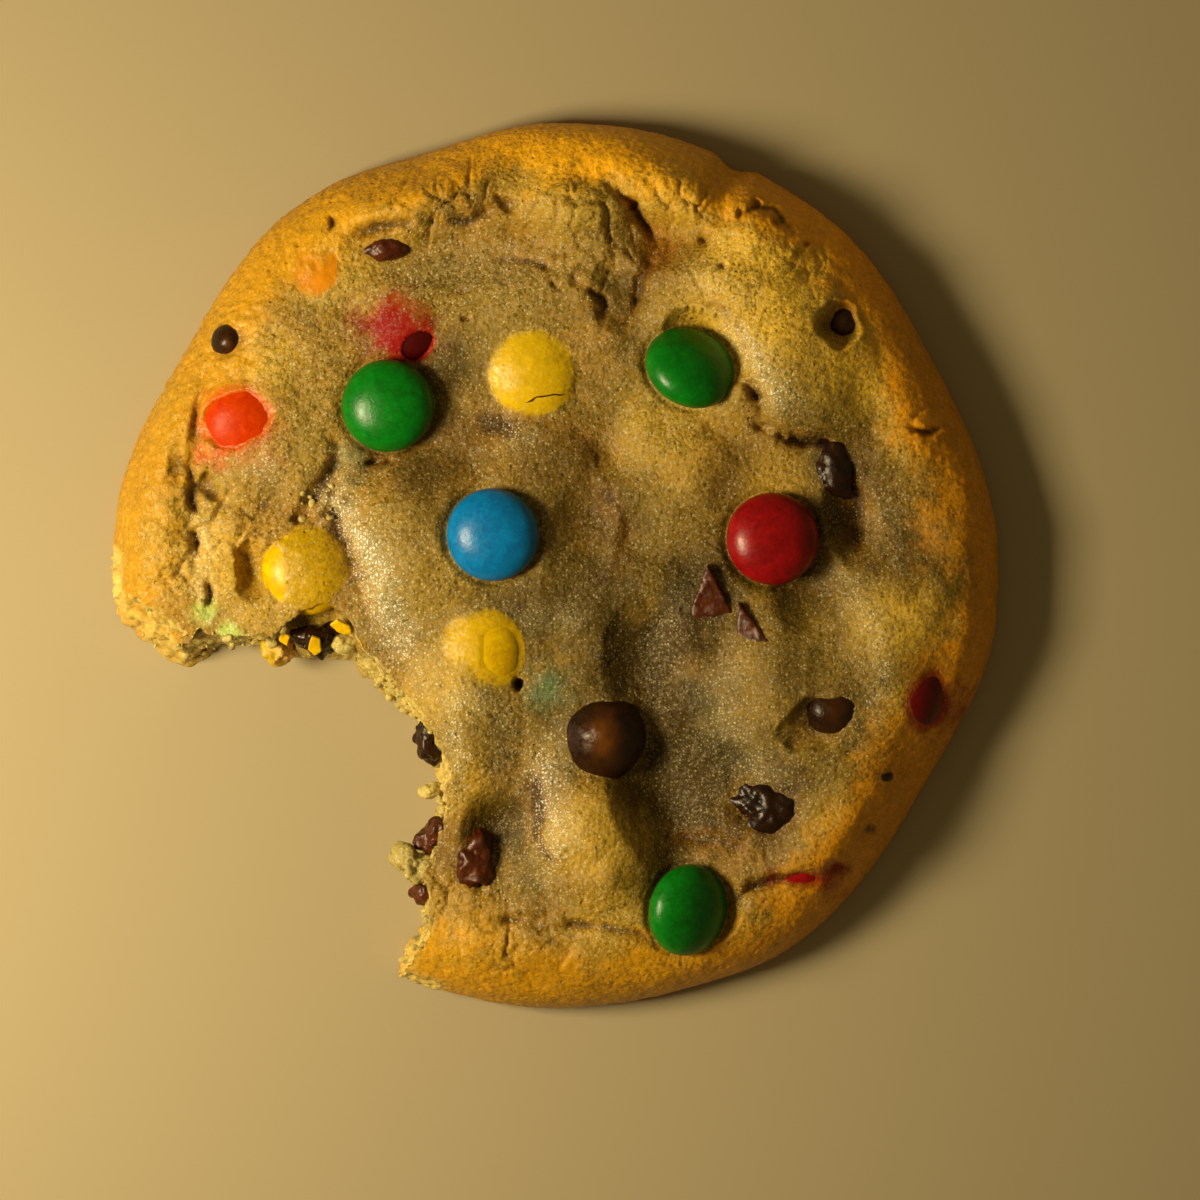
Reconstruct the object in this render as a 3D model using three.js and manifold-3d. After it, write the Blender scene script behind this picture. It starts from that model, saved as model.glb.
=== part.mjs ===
// A chocolate candy cookie with one bite out of it, lying flat on its baked base.
// Millimetres, +Z up, origin under the middle of the cookie, on the surface it lies on.
// Seen from above, +X is to the right and the bite is at the lower left.
import * as THREE from "three";
import Module from "manifold-3d";
import { mergeVertices } from "three/addons/utils/BufferGeometryUtils.js";

const wasm = await Module();
wasm.setup();

// ---- Driving dimensions --------------------------------------------------
const COOKIE_R = 44.85; // mean radius of the whole round cookie at its widest
const SHOULDER_H = 8.9; // height where the rim turns into the top
const SHOULDER_IN = 7.5; // how far in from the edge that is
const WIDEST_Z = 1.9; // height at which the side stands out furthest
const BASE_IN = 1.1; // how far the flat base stays inside the widest line
const CANDY_R = 4.65; // a small sugar-shelled candy
const CANDY_HALF_T = 2.6;
const GAP = 0.25; // air between a piece and its socket
const TURNS = 100; // facets round the cookie
const TOP_RINGS = 16;
const EVEN_R = 1.3; // circle over which the relief is evened out

const deg = THREE.MathUtils.degToRad;
const clamp = THREE.MathUtils.clamp;
const ease = (t) => THREE.MathUtils.smoothstep(t, 0, 1);

// ---- Outline and edge ------------------------------------------------------
// The baked edge is a circle with shallow lobes: [direction in degrees, half width, height].
const LOBES = [
  [28, 26, -1.35],
  [57, 12, -0.15],
  [66, 3.5, -0.9],
  [78, 10, 0.15],
  [107, 16, -1.0],
  [150, 23, -1.5],
  [253, 15, -0.3],
  [300, 14, 0.65],
  [329, 22, -1.4],
  [350, 10, 0.15],
];

function outlineRadius(angle) {
  let r = COOKIE_R;
  for (const [at, half, height] of LOBES) {
    const away = Math.abs(((angle - deg(at) + 3 * Math.PI) % (2 * Math.PI)) - Math.PI);
    r += height * (1 - ease(away / deg(half)));
  }
  return r;
}

// Height of the plain top, by how far in from the edge: a round shoulder, then a level top.
function shoulder(inset) {
  const t = 1 - clamp(inset / SHOULDER_IN, 0, 1);
  return WIDEST_Z + (SHOULDER_H - WIDEST_Z) * (1 - t ** 2.3) ** 0.62;
}

// ---- Relief of the top -----------------------------------------------------
// Swells and hollows: [x, y, half length, half width, turn in degrees, height].
const SWELLS = [
  [-5.5, -2, 17, 17, 0, 1.2], // broad middle
  [-13.5, 3, 7.5, 9.5, 0, 1.3], // skin fold beside the crumbly crack
  [-9.5, -16, 6.5, 10, 0, 1.1],
  [11, 9, 7.5, 8.5, 0, 0.9],
  [20.5, 22.5, 14, 10, -42, 2.3], // upper right pillow
  [24.5, -13.5, 14, 12, 0, 1.6], // right hump
  [4.5, -28, 7.5, 7, 0, 1.6], // lower hump
  [29, -25, 9, 6, 35, 0.8],
  [2, 35.5, 6, 3.6, -8, 1.3], // lumps along the top rim
  [11.5, 38.5, 7, 4.5, -22, 1.0],
  [21.5, 34, 5.5, 4.5, -38, 0.9],
  [-12, 37, 9, 4.5, 22, 0.8],
  [-29, 15, 9, 15, 0, 0.7], // left plateau
  [-5, 24, 17, 6, 5, 0.6],
  [-9, 31, 13, 3.6, 3, -1.0], // trough inside the top rim
  [11, 32.6, 6.5, 3.2, -14, -1.1],
  [6.3, 27, 2.8, 4.2, 10, -0.9],
  [11, -22, 6, 9.5, 10, -1.9], // dark valley right of the big chip
  [9, -9.5, 4.5, 7, 0, -1.3],
  [2.5, 1.5, 3.5, 9, -12, -0.6],
  [25.3, -2.5, 4, 5, 0, -1.2],
  [29.6, 4.8, 3, 5.6, 8, -1.7],
  [-5.8, -27, 3.8, 5, 0, -1.4],
];

// Small deep pits: [x, y, half length, half width, turn in degrees, height].
const PITS = [
  [28.3, 24.2, 2.6, 3.0, 15, -1.9], // round the sunken chips
  [26.4, -15.8, 4.6, 3.2, 25, -1.7],
  [-30.4, -0.6, 1.9, 3.3, 0, -2.2], // gap beside the bitten candy
];

// Cracks and folds: a path, the half width and depth of the groove, and how much
// higher the surface on the left of the path is, which fades over the reach.
const FOLDS = [
  { path: [[-34.8, 19.5], [-35.9, 15.5], [-36.3, 8], [-36.5, 2], [-37.5, -2.5]],
    width: 1.1, depth: 1.5, step: 0, reach: 1 },
  { path: [[-39.4, 17.5], [-40.5, 12], [-40.8, 4], [-40.0, -3]],
    width: 3.0, depth: -0.8, step: 0, reach: 1 }, // the left rim's roll
  { path: [[-21.9, 12.5], [-22.4, 6.0], [-21.7, 3.0], [-20.3, 0.5], [-19.4, -2.5], [-18.6, -6]],
    width: 1.2, depth: 1.1, step: 0.6, reach: 4 },
  { path: [[-20.3, 32], [-19.2, 33.4], [-15.5, 34.3], [-11.5, 34.6], [-8, 34.8], [-5, 36.3]],
    width: 1.3, depth: 0.7, step: 0.6, reach: 5 },
  { path: [[4.9, 38.4], [7.4, 36.2], [9.9, 33.4], [11.7, 32.7], [13.6, 32.8], [17.3, 32.9]],
    width: 1.3, depth: 1.0, step: 0.3, reach: 3 },
  { path: [[17.7, 33.4], [18.2, 35.3], [17.3, 36], [16.4, 38.1], [16.2, 40.6]],
    width: 1.2, depth: 1.0, step: 0, reach: 1 },
  { path: [[17.9, 18.6], [19.7, 17.5], [21, 14.1], [22.7, 13], [25.1, 12.3], [28, 12.6], [32.3, 12.7]],
    width: 1.3, depth: 1.3, step: 0.9, reach: 5 },
  { path: [[34.9, 14.4], [36.8, 13.4], [39.2, 13.6], [42.3, 13.1]],
    width: 1.1, depth: 0.7, step: 0, reach: 1 },
  { path: [[15.7, -34], [18.5, -32.8], [22, -31.7], [25.5, -31.1], [29.5, -30.1], [30.7, -30.3]],
    width: 1.3, depth: 0.8, step: 1.0, reach: 4 },
  { path: [[-9.3, -34.7], [-5.5, -35.7], [-1.5, -35.3], [2.5, -36], [8.5, -36.7], [10.5, -38]],
    width: 1.2, depth: 0.6, step: 0.2, reach: 3 },
];

// A hump over a turned ellipse, 1 at its middle and 0 past its edge.
function hump(x, y, [cx, cy, halfLength, halfWidth, turn], power) {
  const c = Math.cos(deg(turn));
  const s = Math.sin(deg(turn));
  const u = ((x - cx) * c + (y - cy) * s) / halfLength;
  const v = ((y - cy) * c - (x - cx) * s) / halfWidth;
  return Math.max(0, 1 - u * u - v * v) ** power;
}

// Distance from a point to a path, which side it is on, and how near the ends (0 there, 1 inside).
function pathDistance(x, y, path) {
  let best = { away: Infinity, side: 1, inside: 0 };
  for (let i = 0; i + 1 < path.length; i++) {
    const [ax, ay] = path[i];
    const dx = path[i + 1][0] - ax;
    const dy = path[i + 1][1] - ay;
    const t = clamp(((x - ax) * dx + (y - ay) * dy) / (dx * dx + dy * dy), 0, 1);
    const away = Math.hypot(x - ax - t * dx, y - ay - t * dy);
    if (away >= best.away) continue;
    const along = (i + t) / (path.length - 1);
    const side = Math.sign(dx * (y - ay) - dy * (x - ax)) || 1;
    best = { away, side, inside: ease(4 * Math.min(along, 1 - along)) };
  }
  return best;
}

function foldHeight(x, y, { path, width, depth, step, reach }) {
  const { away, side, inside } = pathDistance(x, y, path);
  const groove = -depth * Math.exp(-((away / width) ** 2)) * (0.35 + 0.65 * inside);
  const raised = side > 0 ? step * (1 - Math.exp(-away)) * Math.exp(-away / reach) : 0;
  return groove + raised * inside;
}

// Smooth noise from -1 to 1, fixed by place.
function noise(x, y, z) {
  const lattice = (i, j, k) => {
    const s = Math.sin(i * 127.1 + j * 311.7 + k * 74.7) * 43758.5453;
    return s - Math.floor(s);
  };
  const [i, j, k] = [x, y, z].map(Math.floor);
  const [u, v, w] = [x - i, y - j, z - k].map(ease);
  const mix = THREE.MathUtils.lerp;
  const face = (n) =>
    mix(
      mix(lattice(i, j, n), lattice(i + 1, j, n), u),
      mix(lattice(i, j + 1, n), lattice(i + 1, j + 1, n), u),
      v,
    );
  return 2 * mix(face(k), face(k + 1), w) - 1;
}

function relief(x, y) {
  let rise = 0.35 * noise(x / 5, y / 5, 0);
  for (const swell of SWELLS) rise += swell[5] * hump(x, y, swell, 1.4);
  for (const pit of PITS) rise += pit[5] * hump(x, y, pit, 0.9);
  for (const fold of FOLDS) rise += foldHeight(x, y, fold);
  return rise;
}

// The relief evened out over a small circle, to suit the size of the facets. It fades out
// down the side, so that the cookie keeps its footprint.
function topHeight(x, y) {
  const inset = outlineRadius(Math.atan2(y, x)) - Math.hypot(x, y);
  let rise = 2 * relief(x, y);
  for (let i = 0; i < 8; i++) {
    const a = (i * Math.PI) / 4;
    rise += relief(x + EVEN_R * Math.cos(a), y + EVEN_R * Math.sin(a));
  }
  return shoulder(inset) + (rise / 10) * ease(inset / 5);
}

// ---- Solids ----------------------------------------------------------------
function toSolid(geometry) {
  const plain = new THREE.BufferGeometry();
  const flat = geometry.index ? geometry.toNonIndexed() : geometry;
  plain.setAttribute("position", flat.getAttribute("position").clone());
  const merged = mergeVertices(plain, 1e-4);
  return new wasm.Manifold(
    new wasm.Mesh({
      numProp: 3,
      vertProperties: new Float32Array(merged.attributes.position.array),
      triVerts: new Uint32Array(merged.index.array),
    }),
  );
}

function toGeometry(solid) {
  const { numProp, vertProperties, triVerts } = solid.getMesh();
  const count = vertProperties.length / numProp;
  const positions = new Float32Array(3 * count);
  for (let i = 0; i < count; i++) {
    positions.set(vertProperties.subarray(i * numProp, i * numProp + 3), 3 * i);
  }
  const geometry = new THREE.BufferGeometry();
  geometry.setAttribute("position", new THREE.BufferAttribute(positions, 3));
  geometry.setIndex(new THREE.BufferAttribute(new Uint32Array(triVerts), 1));
  geometry.computeVertexNormals();
  return geometry;
}

// Moves every vertex of a geometry by a function of its place.
function reshape(geometry, move) {
  const position = geometry.getAttribute("position");
  const p = new THREE.Vector3();
  for (let i = 0; i < position.count; i++) {
    move(p.fromBufferAttribute(position, i));
    position.setXYZ(i, p.x, p.y, p.z);
  }
  return geometry;
}

// The whole round cookie: a lathe of rings, pulled out to the lobed outline and up to the relief.
function roundCookie() {
  const rings = [
    new THREE.Vector2(0, 0),
    new THREE.Vector2(COOKIE_R - BASE_IN, 0),
    new THREE.Vector2(COOKIE_R - 0.3, 0.6),
    new THREE.Vector2(COOKIE_R, WIDEST_Z),
  ];
  for (let i = 1; i <= TOP_RINGS; i++) {
    const inset = COOKIE_R * (i / TOP_RINGS) ** 1.35;
    rings.push(new THREE.Vector2(Math.max(0, COOKIE_R - inset), 10));
  }
  const lathe = new THREE.LatheGeometry(rings, TURNS).rotateX(Math.PI / 2);
  return reshape(lathe, (p) => {
    const r = Math.hypot(p.x, p.y);
    const pull = outlineRadius(Math.atan2(p.y, p.x)) / COOKIE_R;
    p.x *= pull;
    p.y *= pull;
    if (p.z > WIDEST_Z + 1 && r < COOKIE_R) p.z = topHeight(p.x, p.y);
  });
}

// ---- The bite --------------------------------------------------------------
// Where the torn edge runs, from the left corner round to the lower one.
const BITE_EDGE = [
  [-46.0, -1.9], [-43.2, -4.4], [-40.4, -6.8], [-37.4, -9.2], [-35.4, -8.2],
  [-30, -7.6], [-25.5, -9.1], [-21, -9.0], [-17.7, -11.6], [-14.4, -15],
  [-11.8, -19.4], [-11.5, -23.6], [-12.6, -27.6], [-13.9, -31], [-13.2, -33.4],
  [-12.7, -35.6], [-14.2, -38.6], [-15.6, -42.5],
];
const BITE_BEYOND = [[-19, -54], [-52, -54], [-56, -10]];
const CRUMB = 0.6; // depth of the crumbly unevenness

// How far the torn face leans back from bottom to top: most at the left corner.
function biteLean(x, y) {
  const left = 2.6 * ease((-33 - x) / 6);
  const corner = 1.1 * ease(1 - Math.hypot(x + 18.5, y + 11) / 7);
  return 1.2 + left + corner;
}

// How much further back the bite reaches in front of the bitten candy's core.
function coreNotch(x, y, z) {
  const near = 1 - Math.hypot((x + 24.2) / 1.25, y + 8) / 3.8;
  return 4.0 * ease(1.6 * near) * ease((z - 2.5) / 5);
}

function biteTool() {
  const curve = new THREE.CatmullRomCurve3(BITE_EDGE.map(([x, y]) => new THREE.Vector3(x, y, 0)));
  const edge = curve.getPoints(46).map((p) => new THREE.Vector2(p.x, p.y));
  const shape = new THREE.Shape([...edge, ...BITE_BEYOND.map(([x, y]) => new THREE.Vector2(x, y))]);
  const depth = 18;
  const block = new THREE.ExtrudeGeometry(shape, { depth, steps: 6, bevelEnabled: false });
  block.translate(0, 0, -2);
  return reshape(block, (p) => {
    const lean = biteLean(p.x, p.y) * (clamp(p.z / 9.5, -0.1, 1.2) - 0.35);
    const push = lean + CRUMB * noise(p.x / 1.7, p.y / 1.7, p.z / 1.7);
    const notch = coreNotch(p.x, p.y, p.z);
    p.x += push * 0.5;
    p.y += push * 0.87 + notch;
  });
}

// ---- Pieces in the dough ---------------------------------------------------
// Each candy: name, x, y, how far its middle stands above the surface there,
// how much it tips, and the direction it tips towards, in degrees.
const CANDIES = [
  ["candy_green_left", 0x0b8a1e, -16.7, 15.9, 0.9, 4, 200],
  ["candy_green_top", 0x0a7f1e, 13.5, 19.7, 0.3, 40, 60],
  ["candy_green_bottom", 0x066312, 13.3, -34.5, 0.2, 40, -12],
  ["candy_blue", 0x0a86bd, -6.2, 3.0, 0.9, 3, 210],
  ["candy_red_right", 0xb3141a, 21.7, 2.6, 1.0, 6, 20],
  ["candy_yellow_top", 0xe0b400, -2.3, 19.3, -1.1, 2, 250],
  ["candy_yellow_lower", 0xdcae05, -7.6, -8.5, -1.5, 9, 190],
  ["candy_yellow_bitten", 0xe6c200, -24.8, -0.4, -1.2, 5, 0],
  ["candy_red_top", 0xa51515, -16.0, 24.1, -2.25, 11, 165],
  ["candy_orange_left", 0xf04a10, -31.4, 13.9, -1.9, 14, 240],
  ["candy_orange_rim", 0xe88a10, -24.0, 29.4, -2.75, 20, 129],
];

// Candies bedded in the side of the rim: name, colour, direction, distance from the middle, height, tip.
const RIM_CANDIES = [
  ["candy_red_rim_right", 0x8f0f10, -19.7, 39.6, 5.0, 62],
  ["candy_red_rim_bottom", 0xb01a12, -48.8, 40.2, 5.0, 58],
];

const CHOCOLATE = 0x3a1c0e;
const MILK_CHOCOLATE = 0x6b3418;

// Chocolate chips: name, x, y, base radius, height, base depth under the surface, tip, direction.
const CHIPS = [
  ["chip_centre", 4.8, -17.3, 4.4, 4.6, 2.0, 10, 150],
  ["chip_right", 28.0, -14.3, 3.5, 4.0, 2.2, 25, 200],
  ["chip_top_right", 28.6, 24.2, 2.3, 3.0, 1.5, 10, 200],
  ["chip_left", -32.7, 22.4, 1.8, 2.3, 1.6, 0, 0],
];

// Rough lumps of chocolate: name, colour, x, y, height of the middle (or sink under the surface), half sizes.
const SURFACE_LUMPS = [
  ["chocolate_film_right", CHOCOLATE, 28.1, 9.6, 1.3, [2.4, 3.3, 1.9]],
  ["chocolate_film_bottom", CHOCOLATE, 21.4, -24.0, 1.1, [3.8, 2.8, 1.7]],
  ["chocolate_film_top", MILK_CHOCOLATE, -17.3, 31.7, 0.9, [2.3, 1.4, 1.3]],
  ["chocolate_fleck_right", CHOCOLATE, 32.6, -21.1, 0.7, [1.2, 0.9, 1.0]],
  ["chocolate_fold_bite", MILK_CHOCOLATE, -8.0, -30.0, 1.0, [2.2, 3.4, 1.9]],
];
const BITE_LUMPS = [
  ["chocolate_bite_upper", CHOCOLATE, -12.2, -17.1, 6.2, [1.7, 2.3, 2.2]],
  ["chocolate_bite_middle", MILK_CHOCOLATE, -12.0, -27.4, 6.6, [1.9, 2.1, 1.9]],
  ["chocolate_bite_lower", MILK_CHOCOLATE, -12.7, -32.8, 5.8, [1.6, 1.4, 1.7]],
  ["chocolate_in_candy", CHOCOLATE, -23.9, -7.25, 6.5, [2.4, 1.7, 1.6]],
  ["crumb_yellow", 0xd9ab3a, -28.0, -8.7, 4.4, [1.4, 1.5, 1.4]],
];

// Crumbs of the dough itself that hang on the torn edge: x, y, z, half sizes.
const BITE_CRUMBS = [
  [-14.2, -30.2, 7.4, [1.8, 1.7, 1.4]],
  [-12.6, -22.6, 6.6, [1.2, 0.9, 0.9]],
  [-21.0, -7.9, 7.4, [1.2, 0.9, 0.9]],
  [-14.9, -39.9, 2.4, [0.9, 0.6, 0.7]],
];

// Flat shards of milk chocolate in the top: name, corners, x, y, tip, direction.
const SHARDS = [
  ["shard_upper", [[-2.3, -2.4], [-0.2, 3.6], [2.3, -1.4]], 15.4, -3.4, 12, 240],
  ["shard_lower", [[-1.3, -2.7], [-1.2, 3.1], [2.1, -0.9]], 19.4, -6.9, 14, 200],
];
const SHARD_T = 1.2;

// Broken pieces of the bitten candy's shell: name, corners, x, y, z, tip, direction.
const SHELL_FLAKES = [
  ["shell_flake_1", [[-0.7, -0.3], [0.2, -0.8], [0.6, 0.2], [-0.3, 0.8]], -27.1, -7.3, 7.6, 25, 240],
  ["shell_flake_2", [[-0.7, -0.5], [0.0, -1.2], [0.7, -0.7], [0.6, 0.7], [-0.3, 1.0]], -24.0, -8.1, 8.75, 20, 265],
  ["shell_flake_3", [[-1.2, 0.3], [-0.3, -0.6], [1.1, -0.7], [0.9, 0.2], [-0.4, 0.9]], -21.3, -6.2, 9.3, 25, 250],
];
const SHELL_T = 0.55;

// A turn that tips +Z by an angle towards a direction in the XY plane.
function tipped(tip, direction) {
  const axis = new THREE.Vector3(-Math.sin(deg(direction)), Math.cos(deg(direction)), 0);
  return new THREE.Quaternion().setFromAxisAngle(axis, deg(tip));
}

const candyShape = (grow) =>
  new THREE.SphereGeometry(1, 14, 8)
    .rotateX(Math.PI / 2)
    .scale(CANDY_R + grow, CANDY_R + grow, CANDY_HALF_T + grow);

function chipShape(radius, height, grow) {
  const side = [
    [0, -grow], [0.8, -grow], [1, 0.12 * height], [0.93, 0.34 * height],
    [0.74, 0.6 * height], [0.47, 0.84 * height], [0.2, 0.97 * height],
  ];
  const profile = side.map(([r, z]) => new THREE.Vector2(r * radius + (r ? grow : 0), z + (z > 0.5 * height ? grow : 0)));
  profile.push(new THREE.Vector2(0, height + grow));
  return new THREE.LatheGeometry(profile, 14).rotateX(Math.PI / 2);
}

function lumpShape(halves, grow) {
  const lump = new THREE.IcosahedronGeometry(1, 1);
  return reshape(lump, (p) => {
    const bumpy = 1 + 0.14 * noise(2.1 * p.x + halves[0], 2.1 * p.y + halves[1], 2.1 * p.z);
    p.set(p.x * (bumpy * halves[0] + grow), p.y * (bumpy * halves[1] + grow), p.z * (bumpy * halves[2] + grow));
  });
}

function shardShape(corners, thickness, grow) {
  const middle = [0, 1].map((i) => corners.reduce((sum, c) => sum + c[i], 0) / corners.length);
  const outline = corners.map(([x, y]) => {
    const out = new THREE.Vector2(x - middle[0], y - middle[1]);
    return out.setLength(out.length() + 2 * grow);
  });
  return new THREE.ExtrudeGeometry(new THREE.Shape(outline), {
    depth: thickness + 2 * grow,
    bevelEnabled: false,
  }).translate(0, 0, -thickness / 2 - grow);
}

// One piece: a mesh in its place, and the same shape grown by the gap, which cuts its socket.
function piece(name, color, roughness, shape, place, turn) {
  const material = new THREE.MeshStandardMaterial({ color, roughness, metalness: 0 });
  const mesh = new THREE.Mesh(shape(0), material);
  mesh.name = name;
  mesh.position.set(...place);
  mesh.quaternion.copy(turn);
  mesh.updateMatrix();
  const socket = toSolid(shape(GAP).applyMatrix4(mesh.matrix));
  return { mesh, socket };
}

function allPieces() {
  const made = [];
  for (const [name, color, x, y, lift, tip, direction] of CANDIES) {
    const place = [x, y, topHeight(x, y) + lift];
    made.push(piece(name, color, 0.3, candyShape, place, tipped(tip, direction)));
  }
  for (const [name, color, direction, out, z, tip] of RIM_CANDIES) {
    const place = [out * Math.cos(deg(direction)), out * Math.sin(deg(direction)), z];
    made.push(piece(name, color, 0.35, candyShape, place, tipped(tip, direction)));
  }
  for (const [name, x, y, radius, height, sink, tip, direction] of CHIPS) {
    const place = [x, y, topHeight(x, y) - sink];
    const shape = (grow) => chipShape(radius, height, grow);
    made.push(piece(name, CHOCOLATE, 0.4, shape, place, tipped(tip, direction)));
  }
  for (const [name, color, x, y, sink, halves] of SURFACE_LUMPS) {
    const shape = (grow) => lumpShape(halves, grow);
    made.push(piece(name, color, 0.5, shape, [x, y, topHeight(x, y) - sink], tipped(0, 0)));
  }
  for (const [name, color, x, y, z, halves] of BITE_LUMPS) {
    const shape = (grow) => lumpShape(halves, grow);
    made.push(piece(name, color, 0.6, shape, [x, y, z], tipped(0, 0)));
  }
  for (const [name, corners, x, y, tip, direction] of SHARDS) {
    const shape = (grow) => shardShape(corners, SHARD_T, grow);
    const place = [x, y, topHeight(x, y) + 0.1];
    made.push(piece(name, MILK_CHOCOLATE, 0.4, shape, place, tipped(tip, direction)));
  }
  for (const [name, corners, x, y, z, tip, direction] of SHELL_FLAKES) {
    const shape = (grow) => shardShape(corners, SHELL_T, grow);
    made.push(piece(name, 0xe6c200, 0.4, shape, [x, y, z], tipped(tip, direction)));
  }
  return made;
}

// The dough: the round cookie less the bite, with the crumbs on its edge and a socket for every piece.
function dough(pieces) {
  const bite = toSolid(biteTool());
  let solid = toSolid(roundCookie()).subtract(bite);
  for (const [x, y, z, halves] of BITE_CRUMBS) {
    solid = solid.add(toSolid(lumpShape(halves, 0).translate(x, y, z)));
  }
  for (const { socket } of pieces) solid = solid.subtract(socket);
  const bodies = solid.decompose().sort((a, b) => b.volume() - a.volume());
  const material = new THREE.MeshStandardMaterial({ color: 0xc8953c, roughness: 0.75, metalness: 0 });
  const mesh = new THREE.Mesh(toGeometry(bodies[0]), material);
  mesh.name = "dough";
  return mesh;
}

const cookie = new THREE.Group();
const pieces = allPieces();
cookie.add(dough(pieces), ...pieces.map(({ mesh }) => mesh));

export default cookie;
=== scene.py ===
"""A chocolate candy cookie with a bite out of it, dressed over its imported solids.

Lengths in the tables are millimetres in the part's own frame, which the pieces keep in metres:
+Z up, seen from above with +Y up, and the bite at the lower left.
"""
import itertools
import math

import bmesh
import bpy
import numpy as np
from mathutils import Matrix, Vector


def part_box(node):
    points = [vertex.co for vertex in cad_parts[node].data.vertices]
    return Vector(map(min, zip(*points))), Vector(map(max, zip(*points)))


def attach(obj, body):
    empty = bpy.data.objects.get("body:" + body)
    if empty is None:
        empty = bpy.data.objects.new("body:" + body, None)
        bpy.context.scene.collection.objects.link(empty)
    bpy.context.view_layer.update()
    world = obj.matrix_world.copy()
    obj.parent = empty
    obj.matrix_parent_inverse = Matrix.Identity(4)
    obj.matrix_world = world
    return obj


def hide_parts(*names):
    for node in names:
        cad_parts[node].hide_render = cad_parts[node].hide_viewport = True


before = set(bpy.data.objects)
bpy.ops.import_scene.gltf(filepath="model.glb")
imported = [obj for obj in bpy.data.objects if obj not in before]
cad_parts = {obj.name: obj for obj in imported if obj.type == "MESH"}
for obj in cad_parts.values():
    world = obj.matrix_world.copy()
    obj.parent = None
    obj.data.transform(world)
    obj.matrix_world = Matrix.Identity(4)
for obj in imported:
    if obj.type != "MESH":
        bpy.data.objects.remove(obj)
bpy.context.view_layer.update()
MM = 0.001
RNG = np.random.RandomState(5)

# ---- Shape of the dough ----------------------------------------------------
COOKIE_R = 44.85
SHOULDER_H = 8.9
SHOULDER_IN = 7.5
WIDEST_Z = 1.9
GRID = 420  # faces across the dough's top
LATTICE_SIZE = 64
SWELL_GAIN = 1.2
CELL_SPREAD = 0.45  # how far a random cell's middle strays, in cells
CANDY_HALF_WIDTH = 4.65
CANDY_HALF_THICKNESS = 2.6
CANDY_RINGS, CANDY_TURNS = 40, 72  # of its mesh
CHIP_RINGS, CHIP_TURNS = 44, 64
CANDY_REACH = 8  # how far from a candy's middle the dough minds it
FILM_THICKNESS = 0.10  # of the dough over a covered candy
FILM_DROP = 0.38  # how far the film falls away where a candy is bare
BEDDED_BELOW = 5.5  # a candy whose middle is lower sits in the cookie's side
CUTTER_LOW, CUTTER_HIGH, CUTTER_LEVELS = -1.5, 14.5, 66  # it passes the dough both ways
FACE_HEIGHT = 9.5  # the torn face's
CRUMBS_ON_FACE, CRUMBS_IN_CRACK = 110, 12
FLOOR_HALF = 1200
FLOOR_Z = -0.1
CAMERA_AWAY = 500  # from the cookie's top
FRAME_WIDTH = 120  # what the camera sees across at that distance
SENSOR_WIDTH = 36


def rows(text):
    """A table's rows of numbers, parted by semicolons."""
    return [tuple(map(float, row.split())) for row in text.split(";")]


def paths(text, *usual):
    """A table of paths: each one's points and, after a bar, its numbers, less usual last ones."""
    table = []
    for row in text.split(";"):
        points, numbers = (list(map(float, part.split())) for part in row.split("|"))
        table.append((list(zip(points[::2], points[1::2])), *numbers, *usual[len(numbers) - 2 :]))
    return table


# The edge's shallow lobes: direction in degrees, half width, height.
LOBES = rows("""
    28 26 -1.35; 57 12 -.15; 66 3.5 -.9; 78 10 .15; 107 16 -1; 150 23 -1.5; 253 15 -.3; 300 14 .65;
    329 22 -1.4; 350 10 .15
""")

# Swells and hollows, and small pits: x, y, half length, half width, turn, height.
SWELLS = rows("""
    -5.5 -2 17 17 0 1.2; -13.5 3 7.5 9.5 0 1.5; -9.5 -16 6.5 10 0 1.2; 11 9 7.5 8.5 0 1;
    20.5 22.5 14 10 -42 2.9; 24.5 -13.5 14 12 0 1.7; 4.5 -28 7.5 7 0 1.8; 29 -25 9 6 35 .9;
    2 35.5 6 3.6 -8 1.4; 11.5 38.5 7 4.5 -22 1.1; 21.5 34 5.5 4.5 -38 1; -12 37 9 4.5 22 .9;
    -29 15 9 15 0 .7; -5 24 17 6 5 .6; -9 31 13 3.6 3 -1.1; 11 32.6 6.5 3.2 -14 -1.3;
    6.3 27 2.8 4.2 10 -1.2; 11 -22 6 9.5 10 -2.2; 9 -9.5 4.5 7 0 -1.5; 2.5 1.5 3.5 9 -12 -.8;
    25.3 -2.5 4 5 0 -1.3; 29.6 4.8 3 5.6 8 -1.4; -5.8 -27 3.8 5 0 -1.6; 19 -22 4 5 20 -.6; 34 -5 6 9 0 1;
    37 8 5 7 0 -.5; 28 33 6 3 -45 -.5; -35 26 6 4 50 .4
""")
PITS = rows("""
    28.3 24 2.2 2.6 15 -2; 26 -15.9 3.9 2.6 25 -1.8; -30.4 -.6 1.8 3.3 0 -2.5; -4.9 36.2 1.6 .7 -40 -.8;
    7.6 36.2 .6 .6 0 -1.4; -32.7 22.4 2.3 1.7 15 -.45; -3.7 -11.8 .7 .6 0 -2.6; 20 36.2 .5 .5 0 -.9;
    22.5 34.3 .5 .6 0 -.9; 25 32 .5 .4 0 -.7; 16.7 29.8 .5 .5 0 -.6; -9 24.5 .4 .6 0 -.7;
    -9.5 27.5 1.3 .5 10 -.4; .3 28.2 .7 .4 -30 -.5; -38 9.5 1 2.2 0 -.5; -34.6 7.8 1.1 1.6 0 -1.3;
    -25.3 5.2 1.4 .9 20 -1.2; 22 -24.5 3.6 2.6 0 -.7
""")

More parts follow.
